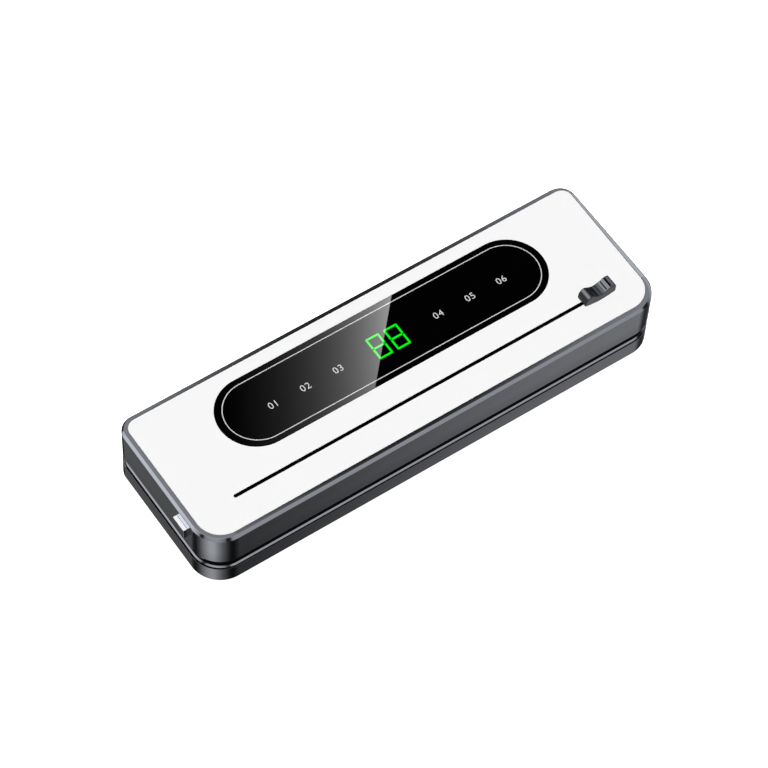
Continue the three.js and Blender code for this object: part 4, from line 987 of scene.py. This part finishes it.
for first, last, depth in GROOVES:
    cut_away(knob_grip, box_cutter(
        (knob_x + first * MM, groove_ends[0], top_of_lid + (height_on(humps, first) - depth) * MM),
        (knob_x + last * MM, groove_ends[1], top_of_lid + KNOB_CLEAR * MM), GROOVE_ROUND_MM))
smooth_shade(knob_grip, 40)
finish_piece(knob_grip, knob_lacquer, "cutter", "knob", "cutter_knob")
knob_grip.visible_shadow = knob_grip.visible_diffuse = False
print("rims softened:", side_rims)

# %% Finishes on the knob
LEFT_HUMP_HIGHLIGHT, END_FROM, GROOVES_ABOVE, SLACK = (-10.45, -9.25), -11, 6, 0.01   # in mm


def along_knob(middle):
    return (middle.x - knob_x) / MM


def in_groove(middle):
    """Below the ribs' tops, between the ends of a groove."""
    across = groove_ends[0] - SLACK * MM < middle.y < groove_ends[1] + SLACK * MM
    return across and middle.z > top_of_lid + GROOVES_ABOVE * MM and any(
        first - SLACK < along_knob(middle) < last + SLACK
        and middle.z < top_of_lid + (height_on(humps, first) - depth * 0.4) * MM
        for first, last, depth in GROOVES)


# painted highlights: the rib tops get the lighter lacquer
paint_faces(knob_grip, painted_highlight_lacquer, lambda middle, normal: (
    RIBS_FROM < along_knob(middle) < RIBS_TO and normal.z > 0.7 and abs(normal.y) < 0.3))
# painted highlights: the right hump's top and a strip on the left hump
paint_faces(knob_grip, painted_highlight_lacquer, lambda middle, normal: (
    normal.z > 0.3 and abs(normal.y) < 0.3
    and (along_knob(middle) > GROOVES[-1][1] or LEFT_HUMP_HIGHLIGHT[0] < along_knob(middle) < LEFT_HUMP_HIGHLIGHT[1])))
# painted shade: the grooves get the black finish
paint_faces(knob_grip, black_and_recess_shade, lambda middle, normal: in_groove(middle))
# painted shade: the sides get the darker copy of the lacquer
paint_faces(knob_grip, knob_side_shade_lacquer, lambda middle, normal: abs(normal.y) > 0.8)
paint_faces(knob_grip, knob_end_black, lambda middle, normal: (
    normal.x < -0.4 and along_knob(middle) < END_FROM))

# %% [markdown]
# ## Base casing
# The base is a tray whose wall stands flush under the lid. On top of the wall runs a narrow
# flat step, then a small slope that catches the light, and then the recessed neck that the lid
# closes over, black plastic painted blacker still as painted shade. Seen from the side these
# make the fine light and dark lines between lid and base. The step is wider at the left end and
# at the rear. The visible wall is made like the lid, from the rounded plate; the inner deck
# stays as measured, and is dressed further down.

# %% Wall of the base
base_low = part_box("base_shell")[0]
WALL_HEIGHT, SKIN = 14.1 * MM, 2.4 * MM
STEP_WIDTH, STEP_MORE_LEFT, STEP_MORE_REAR = 1.15 * MM, 0.35 * MM, 0.7 * MM
SLOPE_SIZE, NECK_TOP, NECK_SKIN = 1.0 * MM, 24.02 * MM, 1.2 * MM
BASE_PROUD, TINY = 0.3 * MM, 0.01 * MM

wall_top = base_low.z + WALL_HEIGHT
step_z = wall_top + TINY
left_half, rear_half = lid_low.x + FRONT_RADIUS + PAST, lid_high.y - REAR_RADIUS - PAST
base_casing = start_plate("base_casing", body_outline(0, -BASE_PROUD), base_low.z)
extrude(0, 0, WALL_HEIGHT)
bpy.ops.mesh.inset(thickness=STEP_WIDTH, depth=TINY)
shift_corners(STEP_MORE_LEFT, 0, 0, lambda co: near(co.z, step_z, TINY / 4) and co.x < left_half)
shift_corners(0, -STEP_MORE_REAR, 0, lambda co: near(co.z, step_z, TINY / 4) and co.y > rear_half)
pick("FACE", lambda middle, normal: near(middle.z, step_z, TINY / 4))
bpy.ops.mesh.inset(thickness=SLOPE_SIZE, depth=SLOPE_SIZE)
extrude(0, 0, NECK_TOP - step_z - SLOPE_SIZE)
merge_and_turn_outwards()
print("base wall to", round(wall_top / MM, 2), "mm, neck to", round(NECK_TOP / MM, 2), "mm")

# %% Hollow of the base wall
NECK_ROOT, WALL_ROOM, BASE_ROUND = 3 * MM, 2.2 * MM, 0.15 * MM
neck_inset = STEP_WIDTH + SLOPE_SIZE + NECK_SKIN
cut_away(base_casing, plate_solid(
    "neck_hollow", body_outline(neck_inset, STEP_MORE_LEFT - BASE_PROUD, STEP_MORE_REAR),
    wall_top - NECK_ROOT, NECK_TOP + PAST))
cut_away(base_casing, plate_solid(
    "wall_hollow", body_outline(SKIN), base_low.z - PAST, wall_top - WALL_ROOM))
softened = round_edges(base_casing, lambda a, b: near(a.z, b.z) and (
    near(a.z, wall_top, TINY / 4) or near(a.z, base_low.z)), BASE_ROUND, 2)
smooth_shade(base_casing)
finish_piece(base_casing, casing_lacquer, "base", "casing", "base_shell")
# painted shade: the recessed neck gets the black finish over its own dark plastic
paint_faces(base_casing, black_and_recess_shade, lambda middle, normal: (
    middle.z > step_z + SLOPE_SIZE and abs(normal.z) < 0.5))
print("edges softened:", softened)

# %% [markdown]
# ## Release button
# The release button is a small bar that stands out of the left end. Its sides are dark
# lacquer; its top is painted white as a painted highlight, with a fine groove, painted grey
# as painted shade, that parts off a lavender strip beside the lid, a painted reflection. The
# measured part has the right body, so a copy is merged, its outer edges are rounded, and two
# cuts across its top mark the groove.

# %% Smooth copies of measured parts
def smooth_copy(node, name, angle=35):
    """A merged copy of a measured part, shaded smoothly."""
    copy = own_copy(nodes[node], name)
    bpy.ops.mesh.remove_doubles(threshold=MERGE_WITHIN)
    bpy.ops.mesh.dissolve_limited(angle_limit=math.radians(0.5))
    bpy.ops.object.mode_set(mode="OBJECT")
    smooth_shade(copy, angle)
    return copy


# %% Release button
BUTTON_ROUND, GROOVE_PLACE, GROOVE_WIDE = 0.4 * MM, 1.65 * MM, 0.6 * MM
BUTTON_SHORTER, BUTTON_REACH, BUTTON_INSIDE = 1.2 * MM, 8 * MM, 2 * MM
WALL_MARGIN = 0.2 * MM

release_key = smooth_copy("release_button", "release_key")
open_up(release_key)
beyond = lid_low.x - WALL_MARGIN
shift_corners(BUTTON_SHORTER, 0, 0, lambda co: co.x < beyond)
pick("EDGE", lambda a, b: a.x < beyond and b.x < beyond)
bpy.ops.mesh.bevel(offset=BUTTON_ROUND, segments=3, profile=0.5, affect="EDGES")
groove_right = lid_low.x - GROOVE_PLACE
groove_left = groove_right - GROOVE_WIDE
for x in (groove_right, groove_left):
    bpy.ops.mesh.select_all(action="SELECT")
    bpy.ops.mesh.bisect(plane_co=(x, 0, 0), plane_no=(1, 0, 0))
bpy.ops.object.mode_set(mode="OBJECT")
smooth_shade(release_key)
finish_piece(release_key, key_lacquer, "release", "casing", "release_button")
button_top = button_high.z - 0.3 * BUTTON_ROUND
# painted highlight, painted shade and painted reflection on the button's top
for finish, first, last in ((key_top_highlight, lid_low.x - BUTTON_REACH, groove_left),
                            (key_groove_shade, groove_left, groove_right),
                            (key_lavender_reflection, groove_right, lid_low.x + BUTTON_INSIDE)):
    paint_faces(release_key, finish, lambda middle, normal: (
        normal.z > 0.8 and middle.z > button_top and first < middle.x < last))

# %% [markdown]
# ## Finishes of the inner parts
# When the lid is open, black grained plastic, rubber seals, a brown heat tape and bright
# steel come into view. Each gets a finish with its own grain: spark texture on the plastic,
# talc bloom on rubber, a weave on the tape, brush lines on the metal.

# %% Inner finishes
def moulded(name, dark, light, rough, grain_mm, depth_mm, ior=1.5, strength=0.35):
    """Plastic, rubber or cloth: slow clouds of tone over a grain that dulls and roughens it."""
    return new_finish(name, (dark, light), (rough - 0.06, rough + 0.06), (9, grain_mm, grain_mm),
                      {"IOR": ior}, (2, 3, 3), (strength, depth_mm))


def metal(name, dark, light, rough, stretch, grain_mm=0.4):
    """Drawn or turned metal: the grain is stretched along the working direction."""
    return new_finish(name, (dark, light), (rough - 0.07, rough + 0.07), [grain_mm] * 3,
                      {"Metallic": 1.0}, (3, 3, 3), (0.2, 0.01), stretch)


spark_abs = moulded("black_abs_spark_textured", "17181a", "1d1e21", 0.52, 0.6, 0.02)
smooth_abs = moulded("black_abs_polished_mould", "101113", "151618", 0.35, 1.2, 0.01, strength=0.15)
moulded_rubber = moulded("black_rubber_moulded", "1c1c1e", "252527", 0.78, 0.8, 0.03, 1.52)
seal_silicone = moulded("grey_silicone_moulded", "7c7f84", "8a8d92", 0.62, 1.5, 0.02, 1.41)
hose_silicone = moulded("milky_silicone_extruded", "c9c9c4", "d6d6d1", 0.45, 2.0, 0.01, 1.41)
solder_mask = moulded("green_solder_mask_cured", "123d27", "1c5236", 0.32, 2.5, 0.02, 1.5)
heat_tape = moulded("ptfe_coated_glass_cloth", "8a5c3c", "a06f4a", 0.5, 0.9, 0.05, 1.38)
plated_steel = metal("zinc_plated_steel_pressed", "a9acb1", "c3c6ca", 0.3, (1, 6, 6))
heater_alloy = metal("nickel_chrome_strip_rolled", "b8b4ac", "cfcbc4", 0.28, (1, 9, 1))
turned_brass = metal("brass_turned", "a9853f", "c39d52", 0.3, (6, 1, 6))
blade_steel = metal("stainless_blade_ground", "b4b7bb", "d0d3d6", 0.2, (1, 1, 8), 0.25)

finishes = [
    (spark_abs, [
        "base_bottom_cover", "lid_inner_cover", "cutter_rail", "cutter_carriage", "heater_bar",
        "display_module", "release_valve_body", "release_valve_plunger", "pump_head",
        "pump_bracket", "latch_hook"]),
    (smooth_abs, ["power_inlet"]),
    (moulded_rubber, [
        "foot_front_left", "foot_front_right", "foot_rear_left", "foot_rear_right",
        "lower_gasket", "upper_gasket"]),
    (seal_silicone, ["seal_pad"]),
    (hose_silicone, ["suction_hose"]),
    (solder_mask, ["main_board", "touch_board", "board_ribbon"]),
    (heat_tape, ["heater_tape"]),
    (heater_alloy, ["heater_strip"]),
    (turned_brass, ["inlet_pin_left", "inlet_pin_right", "pump_crank"]),
    (blade_steel, ["cutter_blade"]),
]
for part in nodes:      # what isn't in the list is pressed or drawn steel
    finish = next((finish for finish, parts in finishes if part in parts), plated_steel)
    nodes[part].material_slots[0].material = finish
print("parts with a finish of their own:", sum(len(parts) for finish, parts in finishes))

# %% [markdown]
# ## Inner deck
# Inside its wall the base has a deck with the vacuum trough, the seal's groove and the catch's
# hole. The measured part has all that, so a merged copy is taken and only its outer ring,
# which the new wall stands for, is cut away with a ring-shaped cutter. What is left of the
# outside is the neck between lid and base, and it gets the same black finish as the wall's own
# neck, a painted shade.

# %% Inner deck of the base
DECK_SHELF, RING_ROOM, NECK_BAND = 18.7 * MM, 1 * MM, 15 * MM
SHELF_SKIM, RING_CLEAR = 0.1 * MM, 0.02 * MM

base_deck = smooth_copy("base_shell", "base_deck")
outer_ring = plate_solid(
    "outer_ring", body_outline(-RING_ROOM), base_low.z - PAST, DECK_SHELF + SHELF_SKIM)
cut_away(outer_ring, plate_solid(
    "kept_middle", body_outline(SKIN + RING_CLEAR), base_low.z - 2 * PAST, DECK_SHELF + 2 * PAST))
cut_away(base_deck, outer_ring)
smooth_shade(base_deck)
finish_piece(base_deck, spark_abs, "base", "inner_plastic", "base_shell")
# painted shade: the deck's outer neck gets the same black finish
paint_faces(base_deck, black_and_recess_shade, lambda middle, normal: (
    abs(normal.z) < 0.5 and middle.z > DECK_SHELF
    and normal.x * (middle.x - body_middle) + normal.y * middle.y > 0
    and (abs(middle.y) > lid_high.y - NECK_BAND
         or abs(middle.x - body_middle) > lid_high.x - NECK_BAND)))

# %% [markdown]
# ## Release spring
# The release spring shortens as the button is pressed. Here it is a merged, smoothly shaded
# copy of its wound coil, attached to the lid.

# %% Release spring
spring_low, spring_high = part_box("release_spring")
release_coil = smooth_copy("release_spring", "release_coil", 60)
finish_piece(release_coil, plated_steel, "lid", "steel", "release_spring")
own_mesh(release_coil)
print("spring from", round(spring_low.x / MM, 1), "to", round(spring_high.x / MM, 1), "mm")
